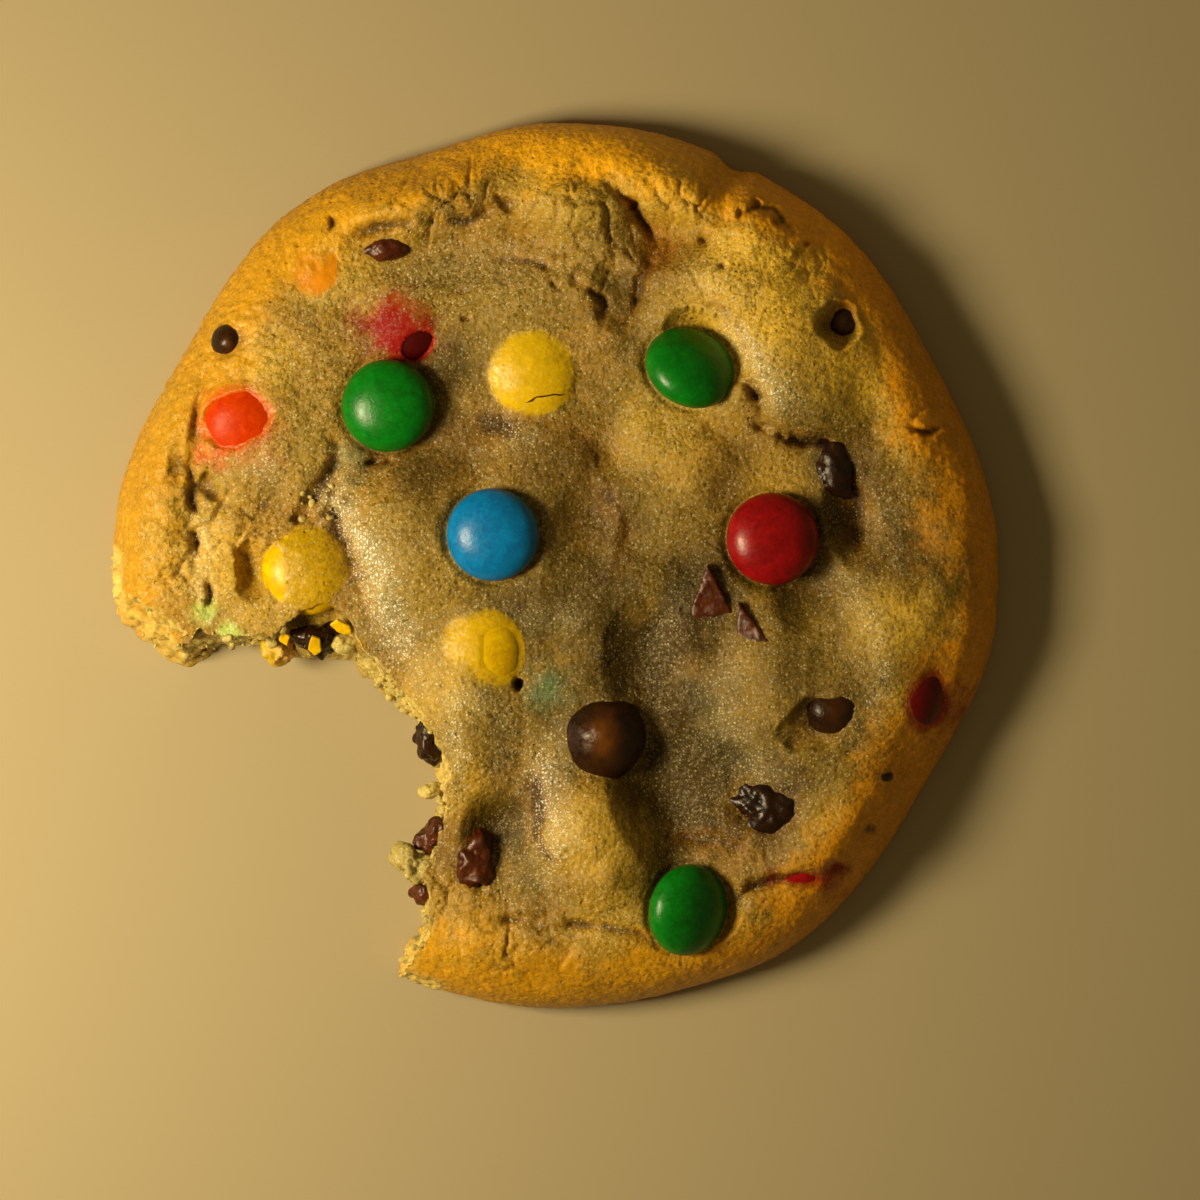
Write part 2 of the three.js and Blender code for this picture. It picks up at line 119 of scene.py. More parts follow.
# Cracks and folds: path, half width, depth, how much higher its left side is, over what
# distance that rises, and how far it reaches. A plain crack has no step.
FOLDS = paths("""
    -34.8 19.5 -35.9 15.5 -36.3 11 -35.8 8 -36.3 4 -36 1 -37 -2.5 | .55 1.2;
    -39.4 17.5 -40.5 12 -40.8 4 -40 -3 | 3 -.9; -22.2 13.2 -21.9 10.3 -23.3 8.3 -24.5 6.5 -27 5.9 | .7 1.1;
    -21.9 10.5 -22.4 6 -21.7 3 -20.3 .5 -19.4 -2.5 -18.6 -6 | .7 .9 1.7 2.2 7;
    -22.2 35.3 -22.8 33.4 | .35 1.1;
    -20.3 32 -19.2 33.4 -15.5 34.3 -11.5 34.6 -8 34.8 -5 36.3 | .6 .9 .9 .7 5;
    4.9 39.4 7.4 36.2 9.9 33.4 11.7 32.7 13.6 32.8 17.3 32.9 | .6 1.4 .5 .7 3;
    17.7 33.4 18.2 35.3 17.3 36 16.4 38.1 16.2 41.6 | .5 1.3;
    17.9 34.6 20.1 35.7 21.6 35.9 23 34.2 25.2 32.2 | .45 .9;
    13.6 32.5 11.7 31.6 9.9 30.1 8.6 28.6 8.2 26.6 7.6 24.5 | .6 .9 1 .9 4;
    3.6 30.5 2 28.6 4.8 26.5 5.2 24 | .5 .7 .3 .6 2;
    17.9 18.6 19.7 17.5 20.5 15.6 21 14.1 22.7 13 25.1 12.3 28 12.6 32.3 12.7 | .65 1.9 2 1.2 6;
    10.5 33 13 29.6 15.4 26.2 18.2 23.4 19.4 19.8 | .8 .3 1.3 2.2 6;
    -1.2 -19.5 -2 -23.5 -1.5 -28 .5 -32 | 1 .2 1.2 2.4 6; 34.9 14.4 36.8 13.4 39.2 13.6 41.3 13.1 | .35 1;
    1.5 13.8 3.6 12 4.3 9.2 5.6 7.2 6.5 3.3 6 -1 | 1 .35 -1.1 1.4 5; -11 13.6 -5.5 14 .5 13.4 | 1.5 .3;
    15.7 -34 18.5 -32.8 22 -31.7 25.5 -31.1 29.5 -30.1 30.7 -30.3 | .5 1.1 1.2 .7 4;
    -9.3 -34.7 -5.5 -35.7 -1.5 -35.3 2.5 -36 8.5 -36.7 10.5 -38 | .5 .6 .2 .8 3;
    -18.9 10.1 -17.3 10.6 -15.8 10.4 | .3 1.3; -34.7 -1.6 -34.2 -2.8 -34.5 -4.2 | .3 1.2;
    -3.4 15.9 -1.6 16.6 1.2 16.9 | .16 .5; 30 8.5 30.6 5 30.2 1.2 | .7 .7; -31 33.2 -33 31 | .35 .7;
    -6.5 31 -3 30.3 .5 29.7 | .4 .6; 10.5 -27 15.5 -27.5 20.5 -28.5 | .7 .7;
    -7.2 -28.2 -7.8 -30.3 -7.3 -32.4 | .5 1.6
""", 0, 1, 1)

# Where the dough is dry and broken up into small clumps: x, y, radius, strength.
CLUMPY = rows("""
    -31 3 9 1; -27 20 8 .6; -24 6 5 1; -38 0 6 .7; 3 33 11 1; 12 37 9 .9; -12 37 10 .9; -24 32 9 .8;
    -4 -38 9 .7; 14 -38 8 .7; 24 33 8 .8; -13 -32 5 1; -22 -7 6 .6; 6 26 6 .8; 30 -32 7 .5;
    -17 14 6 .4; -40 9 7 .6; 38 14 8 .4; 38 0 6 .3; -36 22 6 .6
""")

# The clumps, from large to small: size, seed, height, width of the gaps, share that has them.
CLUMP_SIZES = rows("5.2 5 .60 .34 .4; 2.6 1 .34 .24 .5; 1.2 3 .16 .16 .5")

# Where the torn edge of the bite runs at mid height, from the left corner to the lower one.
BITE_EDGE = rows("""
    -46 -1.9; -43.2 -4.4; -40.4 -6.8; -37.4 -9.2; -35.4 -8.2; -30 -7.6; -25.5 -9.1; -21 -9; -17.7 -11.6;
    -14.4 -15; -11.8 -19.4; -11.5 -23.6; -12.6 -27.6; -13.9 -31; -13.2 -33.4; -12.7 -35.6; -14.2 -38.6;
    -15.6 -42.5
""")
BITE_BEYOND = [(-19, -54), (-52, -54), (-56, -10)]  # closes the cutter outside the cookie


def ease(t):
    """A smooth step from 0 to 1."""
    t = np.clip(t, 0, 1)
    return t * t * (3 - 2 * t)


LATTICE = np.random.RandomState(11).uniform(-1, 1, (LATTICE_SIZE,) * 3)


def noise(p, size, seed):
    """Smooth noise from -1 to 1 at the points p, with features of that size."""
    q = p / size + 19.7 * (seed + 1)
    i = np.floor(q).astype(int)
    f = q - i
    f = f * f * (3 - 2 * f)
    total = 0
    for corner in itertools.product((0, 1), repeat=3):
        weight = np.prod(np.where(corner, f, 1 - f), axis=1)
        total = total + weight * LATTICE[tuple(((i + corner) % LATTICE_SIZE).T)]
    return total


def layers(p, *parts):
    """A sum of noises, from each one's strength, size and seed."""
    return sum(strength * noise(p, size, seed) for strength, size, seed in parts)


def flat_points(x, y):
    return np.stack([x, y, np.zeros_like(x)], 1)


def outline(angle):
    """The cookie's radius in that direction."""
    r = np.full_like(angle, COOKIE_R)
    for at, half, height in LOBES:
        away = np.abs((angle - math.radians(at) + 3 * math.pi) % (2 * math.pi) - math.pi)
        r += height * (1 - ease(away / math.radians(half)))
    return r


def shoulder(inset):
    """The height of the rim's roll that far in from the edge."""
    t = 1 - np.clip(inset / SHOULDER_IN, 0, 1)
    return WIDEST_Z + (SHOULDER_H - WIDEST_Z) * (1 - t**2.3) ** 0.62


def inset_of(x, y):
    """How far in from the cookie's edge each point is."""
    return outline(np.arctan2(y, x)) - np.hypot(x, y)


def in_oval(x, y, oval):
    """Where each point is in a turned oval, along and across, with the oval's edge at 1."""
    cx, cy, long, wide, turn = oval[:5]
    c, s = math.cos(math.radians(turn)), math.sin(math.radians(turn))
    return ((x - cx) * c + (y - cy) * s) / long, ((y - cy) * c - (x - cx) * s) / wide


def hump(x, y, swell, power):
    """1 in a swell's middle, falling to 0 at its edge."""
    u, v = in_oval(x, y, swell)
    return np.maximum(0, 1 - u * u - v * v) ** power


def path_distance(x, y, path):
    """Distance to a path, its side (1 on the left) and 1 inside it, 0 at its ends."""
    best = np.full_like(x, 1e9)
    side = np.ones_like(x)
    inside = np.zeros_like(x)
    for i in range(len(path) - 1):
        (ax, ay), (bx, by) = path[i], path[i + 1]
        dx, dy = bx - ax, by - ay
        t = np.clip(((x - ax) * dx + (y - ay) * dy) / (dx * dx + dy * dy), 0, 1)
        away = np.hypot(x - ax - t * dx, y - ay - t * dy)
        near = away < best
        best = np.where(near, away, best)
        side = np.where(near, np.where(dx * (y - ay) - dy * (x - ax) < 0, -1.0, 1.0), side)
        along = (i + t) / (len(path) - 1)
        inside = np.where(near, ease(4 * np.minimum(along, 1 - along)), inside)
    return best, side, inside


def cell_distances(x, y, size, seed):
    """How far each point is from the nearest and the next nearest random cell's middle."""
    column, row = np.floor(x / size).astype(int), np.floor(y / size).astype(int)
    first, second = np.full_like(x, 1e9), np.full_like(x, 1e9)
    for a, b in itertools.product((-1, 0, 1), repeat=2):
        i, j = (column + a) % LATTICE_SIZE, (row + b) % LATTICE_SIZE
        mx = (column + a + 0.5 + CELL_SPREAD * LATTICE[i, j, seed]) * size
        my = (row + b + 0.5 + CELL_SPREAD * LATTICE[i, j, seed + 1]) * size
        away = np.hypot(x - mx, y - my)
        second = np.minimum(second, np.maximum(first, away))
        first = np.minimum(first, away)
    return first, second


def clumps(x, y):
    """The rise of the clumps in the dry, crumbly places, and the gaps between them from 0 to 1."""
    here = np.zeros_like(x)
    for cx, cy, radius, strength in CLUMPY:
        here = np.maximum(here, strength * (1 - ease(np.hypot(x - cx, y - cy) / radius)))
    at = flat_points(x, y)
    wx, wy = x + 0.9 * noise(at, 1.6, 5) + 0.3 * noise(at, 0.6, 11), y + 0.9 * noise(at, 1.6, 6)
    rise, gaps = np.zeros_like(x), np.zeros_like(x)
    for size, seed, high, width, much in CLUMP_SIZES:
        seed = int(seed)
        first, second = cell_distances(wx, wy, size, seed)
        patchy = ease(much + 1.2 * noise(at, 1.5 * size, 7 + seed))
        gap = np.exp(-(((second - first) / width) ** 2)) * patchy
        rise += high * (0.6 - (first / (0.75 * size)) ** 2) * patchy - 0.9 * high * gap
        gaps = np.maximum(gaps, gap * high * 1.6)
    return here * rise, np.clip(here * gaps, 0, 1)


def fold_height(x, y, fold):
    """How far a fold raises or sinks each point, and how deep in its crack the point is."""
    path, width, depth, step, rise, reach = fold
    wobble = flat_points(x, y)
    wx = x + 0.45 * noise(wobble, 1.6, 3) * min(1, 1.2 / width)
    wy = y + 0.45 * noise(wobble, 1.6, 4) * min(1, 1.2 / width)
    away, side, inside = path_distance(wx, wy, path)
    uneven = ease(0.75 + 0.9 * noise(wobble, 2.2, 9) + 0.3 * noise(wobble, 0.7, 10))
    groove = np.exp(-((away / width) ** 2)) * (0.25 + 0.75 * inside) * (uneven if depth > 0 else 1)
    raised = np.where(side > 0, step * (1 - np.exp(-away / rise)) * np.exp(-away / reach), 0)
    return raised * inside - depth * groove, groove * (depth > 0)


def relief(x, y):
    """The whole relief, how deep in a crack each point is, and the broad relief alone."""
    at = flat_points(x, y)
    broad = layers(at, (0.42, 5.0, 0), (0.36, 8.0, 1), (0.24, 2.8, 2))
    for swell in SWELLS:
        broad = broad + SWELL_GAIN * swell[5] * hump(x, y, swell, 1.25)
    cracks = np.zeros_like(x)
    total = broad.copy()
    wx, wy = x + 0.5 * noise(at, 1.4, 12), y + 0.5 * noise(at, 1.4, 13)
    for pit in PITS:
        dip = hump(wx, wy, pit, 0.9)
        total += pit[5] * dip
        cracks = np.maximum(cracks, 0.7 * dip)
    for fold in FOLDS:
        path, width, *_, reach = fold
        xs, ys = zip(*path)
        margin = 3 * max(width, reach) + 1
        near = (x > min(xs) - margin) & (x < max(xs) + margin)
        near &= (y > min(ys) - margin) & (y < max(ys) + margin)
        rise, groove = fold_height(x[near], y[near], fold)
        total[near] += rise
        cracks[near] = np.maximum(cracks[near], groove)
    rise, gaps = clumps(x, y)
    total += rise
    cracks = np.maximum(cracks, gaps)
    return total, cracks, broad


# ---- Candies ----------------------------------------------------------------
CANDIES = """
    candy_green_left candy_green_top candy_green_bottom candy_blue candy_red_right candy_red_top
    candy_red_rim_right candy_red_rim_bottom candy_yellow_top candy_yellow_lower candy_yellow_bitten
    candy_orange_left candy_orange_rim
""".split()

# Where the film has a hole: x, y, half length, half width, turn.
BARE = {
    "candy_red_top": (-13.5, 21.7, 1.9, 1.6, 30),
    "candy_yellow_lower": (-5.2, -8.6, 2.6, 3.5, 0),
    "candy_yellow_bitten": (-28.1, -0.7, 1.15, 3.4, 8),
    "candy_orange_left": (-31.9, 14.5, 3.9, 3.0, 28),
    "candy_red_rim_right": (38.2, -15.2, 1.3, 2.2, -20),
    "candy_red_rim_bottom": (27.8, -31.8, 1.6, 1.4, 0),
}

# Bare shells that lie deep in a wet hollow, and how strongly painted shade darkens them.
SHADED = {"candy_red_top": 0.85, "candy_red_rim_right": 0.7, "candy_yellow_lower": 0.12}

# Where the film falls away by more or less than FILM_DROP.
DROPS = {"candy_yellow_lower": 0.27, "candy_red_top": 0.75, "candy_orange_left": 0.45}


def triples(items, key):
    """A mesh's points or normals as rows of x, y, z."""
    flat = np.zeros(len(items) * 3)
    items.foreach_get(key, flat)
    return flat.reshape(-1, 3)


def points_of(obj):
    return triples(obj.data.vertices, "co") / MM


def normals_of(obj):
    return triples(obj.data.vertex_normals, "vector")


def middle(node):
    low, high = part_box(node)
    return np.array((low + high) / 2) / MM


def candy_frame(node):
    """A candy's middle and the way its flat face looks, from its solid."""
    points = np.unique(np.round(points_of(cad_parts[node]), 3), axis=0)
    centre = middle(node)
    _, _, axes = np.linalg.svd(points - centre)
    axis = axes[2] * (1 if axes[2][2] >= 0 else -1)
    return centre, axis


FRAMES = {node: candy_frame(node) for node in CANDIES}


def candy_top(x, y, node):
    """A candy's upper surface over each point, or -inf beside it, and how far out the point is."""
    centre, axis = FRAMES[node]
    across, through = 1 / CANDY_HALF_WIDTH**2, 1 / CANDY_HALF_THICKNESS**2
    m = np.eye(3) / CANDY_HALF_WIDTH**2 + np.outer(axis, axis) * (through - across)
    dx, dy = x - centre[0], y - centre[1]
    b = 2 * (m[0, 2] * dx + m[1, 2] * dy)
    c = m[0, 0] * dx**2 + 2 * m[0, 1] * dx * dy + m[1, 1] * dy**2 - 1
    under = b * b - 4 * m[2, 2] * c
    z = np.where(under > 0, (-b + np.sqrt(np.maximum(under, 0))) / (2 * m[2, 2]), -np.inf)
    out = np.sqrt(np.maximum(0, (c + 1) - b * b / (4 * m[2, 2])))
    return centre[2] + z, out


# ---- Colours ----------------------------------------------------------------
def linear(r, g, b):
    """A colour picked in sRGB, as the shaders take it."""
    return np.array([((v / 255 + 0.055) / 1.055) ** 2.4 if v > 10 else v / 255 / 12.92 for v in (r, g, b)])


CRUST = linear(148, 115, 32)
TOAST = linear(200, 138, 8)
DARK_TOAST = linear(206, 112, 2)
GREASY = linear(124, 93, 20)
DEEP_SOAK_AND_SHADE = linear(54, 38, 8)
CRACK_TONE_AND_SHADE = linear(132, 78, 8)
CRUMB = linear(198, 170, 82)
YELLOW = linear(188, 148, 0)
RED = linear(128, 8, 4)
ORANGE = linear(218, 72, 0)
WARM = linear(160, 98, 8)
PAINTED_SHEEN = linear(184, 170, 112)
LIT = linear(224, 173, 40)
CHOCOLATE = linear(64, 32, 12)
TEAL = linear(100, 120, 72)
BUTTERY = linear(70, 40, 2)
BROWNED = linear(80, 48, 4)
GREEN_SMEAR = linear(176, 205, 90)

# Where butter has seeped through and the dough is dark and translucent, and where painted shade darkens
# valleys and hollows: x, y, radius, strength.
SOAKED_AND_SHADED = rows("""
    4.5 -2.5 8.5 .8; 8.5 -8.8 7.5 1.1; .5 9.5 6.5 .6; -11.5 6.5 6 .5; -3.5 -5.5 6 .6; 13.5 -21.5 8.5 1.2;
    9.5 -28.8 6 1; -5.5 -26.8 5.5 1; 28.5 9 5.5 .9; 14.5 -3 7.5 1; 24.5 -2.5 6 .7; -18.5 10.5 3.5 .6;
    -13.5 9 4.5 .8; -9.5 11.5 5 .6; .5 -13.5 4.5 .6; 22 -23.5 6 .7; 38 1 7 .5; 23.5 -10 4.5 .5;
    10.5 31.5 5 .7; 30 20 5 .4; 37 -11 6 .5; -17.5 31 4.5 .3; 9.5 21.5 4.5 .4; 7 27 4 .6; 31 2 4.5 .6;
    19 9 5 .4; -10.5 20 4.5 .8; -10.5 14 4 .6; 5 4.5 6 .7; -3 -4.5 5 .8; 12 -7 6 1.1; 12 -14 6 1;
    9.5 -23.5 6 1; 27.5 5 4 .9
""")

# Where the skin is thin, parched and bright, partly a paler crust and partly painted light: x, y, radius,
# strength.
DRY_AND_LIT = rows("""
    20 27 10 .95; 25 35 7 .95; 31 21 7 .9; 36 14 5 .7; 34 -6 6 .6; 35 -14 4 .5; -34 1 7 .5;
    -30 -4 5 .3; 3.5 -28 7 .4; 5 -35 6 .3; -9 -38 8 .35; 16 -37 5 .2; -21 31 8 .45; 12 38 7 .6;
    0 38 6 .4; -30 20 6 .35; -12 -12 5 .3; -10 -22 5 .3; 12 13 7 .25; 28 -26 5 .3; 22 8 5 .35
""")

# Where melted sugar has glazed the skin and a painted pale sheen with painted glints lies over it: path,
# half width, strength.
GLAZE_AND_SHEEN = paths("""
    -21 10 -22 6.5 -20.5 3.5 -18.5 1 -17.3 -3 -15.5 -7.5 -12.8 -11 | 2 1;
    -.2 -17.8 -.8 -22 -.5 -26.5 -1.2 -30.5 | 2.3 .85; 16.8 25.5 18.8 22 21.6 18.2 24 15 | 1.5 .9;
    26 11.5 27 8.5 | 1.1 .8; 29.5 -1.5 31.5 -5.5 33 -11 31 -18 | 1.6 .5;
    18.5 -8 15.5 -12.5 16.5 -17 20.5 -21.5 24 -24 | 2 .6; -6.5 15.5 -4 13 -1.5 12 | 1.4 .7;
    -32 24 -31 22.5 | 1.4 .5; -35 6 -35.5 0 -34.5 -5 | 1.4 .5; -7 -4.5 -2 -5.5 3 -4.5 | 1.2 .5;
    -11 -14 -9.5 -19 -10.5 -24 | 1 .5; 14 -1 12 -5 9 -9 | 1.7 .45; 12 30 16 28.5 20 25 | 2.2 .4;
    -20 28 -10 29.5 0 29 | 2.2 .35; -5.5 -13 -5 -18 -5.5 -22 | 1.4 .4; -30 11 -28 8.5 | 1.4 .5;
    -12 -13 -8 -14 -6 -12 | 1.4 .5; 33 8 34.5 2 34 -2 | 1.4 .4
""")

# Painted light that brightens the upper rim, and painted shade that darkens the bottom rim: x, y, radius,
# gain.
RIM_LIGHT_AND_SHADE = [(2, 42, 20, 0.65), (27, 35, 18, 0.55), (0, -43, 16, -0.2)]

# Soft stains, later ones over earlier ones: colour, then x, y, radius, strength.
STAINS = [
    (TEAL, rows("-.8 -12.4 3.6 .75; -20.5 10.8 2.4 .35; 10.5 17.5 2.5 .2")),
    (GREEN_SMEAR, rows("-35.3 -4.6 2.2 .7; -32.6 -6.6 1.6 .8")),
    (TEAL, rows("-14 -37.8 .9 .7")),
    (ORANGE, rows("-34.2 11 2.6 .6; -31.6 14 6.4 .35; -33.8 16.8 1.6 .35")),
    (RED, rows("""
        39.3 -14.6 4.6 .75; 27.8 -31.6 3 .65; 21.7 -31.2 1.2 .9; -16 23.5 6.2 .62; -19.5 24.6 2 .7;
        -12.6 24.2 1.6 .6; -16.5 26 2 .5
    """)),
    (CHOCOLATE, rows("21 -24.3 4.4 .55; 24.5 -21.5 1.8 .5; 18 -27 1.7 .5; 29 8.5 4 .3; 17 6.5 3.5 .18")),
    (BUTTERY, rows("12.5 -6.3 3.6 .4")),
    (CHOCOLATE, rows("27.8 -14.4 4.8 .4")),
    (BROWNED, rows("4.8 -17.3 5.6 .3")),
    (CHOCOLATE, rows("""
        32.4 -21 2 .4; 31.6 -.1 .8 .8; 33 .9 .6 .7; 36.7 2.8 .6 .7; 31.6 -26.4 .8 .8;
        33.8 -18 .8 .6; 4.7 -1.2 .9 .5; -3.4 -4.2 1 .7; 1 -4.2 .6 .5; -29 6 .7 .8; -25 .8 .8 .8;
        -17.5 31.8 2.6 .45; -24.5 24.6 1.6 .35; 28.3 24.3 3.6 .35; -32.7 22.4 2.4 .4;
        -7.8 -30.2 3.4 .45
    """)),
    # darker in the deep pit near the top edge and in the ground just below it
    (DARK_TOAST, rows("7.5 36.2 1 .6; 10.5 31.8 4.5 .25")),
    (YELLOW, rows("-30.4 -.8 2.4 .75; -24.7 -6 3.6 .35")),
]

# What shows through the dough's film over each candy that it covers: colour, strength, how far
# it spreads, and how smooth and shiny the film is.
FILMS = {
    "candy_yellow_top": (linear(206, 162, 0), 1.0, 1.06, 0.86),
    "candy_yellow_lower": (linear(196, 152, 0), 1.0, 1.16, 0.86),
    "candy_yellow_bitten": (linear(180, 138, 2), 0.95, 1.0, 0.6),
    "candy_red_top": (linear(140, 10, 0), 1.0, 1.2, 0.9),
    "candy_orange_left": (linear(188, 72, 0), 0.85, 1.10, 0.55),
    "candy_orange_rim": (linear(200, 120, 0), 1.0, 0.62, 0.95),
    "candy_red_rim_right": (RED, 0.8, 1.0, 0.3),
    "candy_red_rim_bottom": (RED, 0.8, 1.0, 0.3),
}


def mix(a, b, k):
    return a + (b - a) * k[:, None]


def signed_to_bite(x, y):
    """Distance from the bite's edge in plan, positive in the cookie."""
    away, side, _ = path_distance(x, y, BITE_EDGE)
    return away * side


def near_spots(table, x, y, ragged, patchy):
    """How strongly each point lies in a table's soft round spots."""
    amount = np.zeros_like(x)
    for cx, cy, radius, strength in table:
        away = np.hypot(x - cx, y - cy) / radius + ragged
        amount = np.maximum(amount, strength * (1 - ease((away - patchy) / 0.95)))
    return amount


def paint(co, crumb, cracks, broad, films):
    """The dough's colour at each vertex, and how wet, toasted, soaked and glazed it is there."""
    x, y, z = co.T
    grain = noise(co, 1.1, 21)
    patch = noise(co, 4.5, 22)
    fine = noise(co, 0.45, 23)
    inset = inset_of(x, y)
    # greasier and darker in the hollows, towards the right and towards the bottom
    greasy = ease(0.60 - 0.18 * broad + 0.35 * patch + 0.008 * x - 0.012 * y) * ease((inset - 3) / 8)
    warm = ease(0.35 + 0.9 * noise(co, 6.5, 24) + 0.35 * grain - 0.25 * broad)
    soaked_and_shaded = near_spots(SOAKED_AND_SHADED, x, y, 0.22 * patch + 0.10 * grain, 0.25)
    dry = near_spots(DRY_AND_LIT, x, y, 0.25 * patch + 0.10 * grain, 0.2)
    glaze_and_sheen = np.zeros_like(x)
    for path, half, strength in GLAZE_AND_SHEEN:
        away, _, inside = path_distance(x, y, path)
        spread = np.exp(-((away / half + 0.25 * patch + 0.15 * grain) ** 2)) * (0.3 + 0.7 * inside)
        glaze_and_sheen = np.maximum(glaze_and_sheen, strength * spread)
    toast = ease((8.6 - inset + 2.0 * patch + 1.2 * grain) / 5.5)
    low = ease((3.4 - z + 0.6 * grain) / 3.4) * ease((3.5 - inset) / 3.0)
    tone = np.tile(CRUST, (len(co), 1))
    for colour, amount in (
        (GREASY, 0.8 * greasy),
        (WARM, 0.24 * warm),
        # dark where butter seeped in, and painted shade in valleys and hollows
        (DEEP_SOAK_AND_SHADE, np.minimum(0.95 * soaked_and_shaded, 0.95)),
        # paler crust, partly painted light
        (LIT, dry),
        # painted sheen: a pale tone along the glazed bands
        (PAINTED_SHEEN, 0.35 * glaze_and_sheen * (1 - 0.7 * np.minimum(soaked_and_shaded, 1))),
        # the rim's toast is paler towards the left and darker towards the right
        (TOAST, (0.92 - 0.4 * ease((-x - 20) / 20)) * toast),
        (DARK_TOAST, 0.35 * ease((x - 5) / 25) * toast),
        (DARK_TOAST, 0.85 * low),
    ):
        tone = mix(tone, colour, amount)
    # painted light on the upper rim, painted shade on the bottom rim
    for cx, cy, radius, gain in RIM_LIGHT_AND_SHADE:
        tone = tone * (1 + gain * toast * (1 - ease(np.hypot(x - cx, y - cy) / radius)))[:, None]
    # cracks show their orange-brown inside, partly painted shade; deeper cracks, pits and gaps between
    # clumps get painted shade
    tone = mix(tone, CRACK_TONE_AND_SHADE, np.clip(0.6 * cracks, 0, 0.6))
    tone = mix(tone, DEEP_SOAK_AND_SHADE, 0.75 * ease(cracks * 1.6 - 0.6))
    tone = mix(tone, CRUMB * (1 + 0.12 * grain[:, None]), crumb * (0.9 - 0.3 * ease((2.2 - z) / 2)))
    for colour, spots in STAINS:
        for cx, cy, radius, strength in spots:
            away = np.hypot(x - cx, y - cy) / radius + 0.28 * grain + 0.18 * fine
            tone = mix(tone, colour, strength * (1 - ease(away)))
    for colour, amount in films:
        tone = mix(tone, colour, amount)
    tone = tone * (1 + 0.10 * grain + 0.10 * fine)[:, None]
    wet = np.clip(0.45 + 0.35 * greasy + 0.25 * soaked_and_shaded + 0.25 * patch - 0.45 * crumb - 0.3 * toast, 0, 1)
    return np.clip(tone, 0.001, 1), np.clip(wet - 0.2 * dry, 0, 1), toast, soaked_and_shaded, glaze_and_sheen


# ---- Mesh helpers -----------------------------------------------------------
def new_object(name, points, faces):
    mesh = bpy.data.meshes.new(name)
    mesh.from_pydata([tuple(p) for p in np.asarray(points) * MM], [], [tuple(f) for f in faces])
    mesh.update()
    mesh.shade_smooth()
    obj = bpy.data.objects.new(name, mesh)
    bpy.context.scene.collection.objects.link(obj)
    return obj


def set_points(obj, co):
    obj.data.vertices.foreach_set("co", (np.asarray(co) * MM).ravel())
    obj.data.update()


def apply_modifiers(obj):
    deps = bpy.context.evaluated_depsgraph_get()
    mesh = bpy.data.meshes.new_from_object(obj.evaluated_get(deps))
    obj.modifiers.clear()
    old = obj.data
    obj.data = mesh
    bpy.data.meshes.remove(old)


def set_attribute(obj, name, values):
    """Gives each vertex a number, or a colour where the values are rows of three."""
    coloured = np.ndim(values) == 2
    if coloured:
        values = np.concatenate([values, np.ones((len(values), 1))], 1)
    layer = obj.data.attributes.new(name, "FLOAT_COLOR" if coloured else "FLOAT", "POINT")
    layer.data.foreach_set("color" if coloured else "value", np.asarray(values, np.float32).ravel())


def hand_in(obj, slot, node=None, material=None):
    """Gives a piece its material and its place: on the part's one body, and for which solid."""
    obj.data.materials.append(material or MATERIALS[slot])
    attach(obj, "root")
    if node:
        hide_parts(node)


# ---- Dough ------------------------------------------------------------------
def edge_profile():
    """From the base's edge up the side and in to the middle: distance along, inset, height."""
    inset = np.concatenate([[1.1, 0.3, 0.0], COOKIE_R * np.linspace(0, 1, 900)[1:] ** 1.6])
    height = np.concatenate([[0.0, 0.6, WIDEST_Z], shoulder(inset[3:])])
    along = np.concatenate([[0], np.cumsum(np.hypot(np.diff(inset), np.diff(height)))])
    return along, inset, height


def round_dough():
    """The whole cookie's dough as one closed fine mesh, before the bite."""
    line = np.linspace(-1, 1, GRID + 1)
    u, v = np.meshgrid(line, line, indexing="ij")
    u, v = u.ravel(), v.ravel()
    rho = np.maximum(np.abs(u), np.abs(v))
    safe_u, safe_v = np.where(u == 0, 1e-9, u), np.where(v == 0, 1e-9, v)
    angle = np.where(
        np.abs(u) >= np.abs(v),
        math.pi / 4 * v / safe_u + np.where(u < 0, math.pi, 0),
        math.pi / 2 - math.pi / 4 * u / safe_v + np.where(v < 0, math.pi, 0),
    )
    along, insets, heights = edge_profile()
    at = (1 - rho) * along[-1]
    inset = np.interp(at, along, insets)
    z = np.interp(at, along, heights)
    radius = (COOKIE_R - inset) * outline(angle) / COOKIE_R
    x, y = radius * np.cos(angle), radius * np.sin(angle)
    side = z < WIDEST_Z + 1e-6

    rise, _, _ = relief(x, y)
    z = z + np.where(side, 0, rise * ease(inset_of(x, y) / 5))
    z = wrap_candies(x, y, z)

    step = GRID + 1
    index = np.arange(step * step).reshape(step, step)
    quads = np.stack([index[:-1, :-1], index[1:, :-1], index[1:, 1:], index[:-1, 1:]], -1).reshape(-1, 4)
    rim = list(index[0, :-1]) + list(index[:-1, -1]) + list(index[-1, :0:-1]) + list(index[:0:-1, 0])
    faces = [tuple(q) for q in quads.tolist()] + [tuple(int(i) for i in rim)]
    return new_object("dough_surface", np.stack([x, y, z], 1), faces)


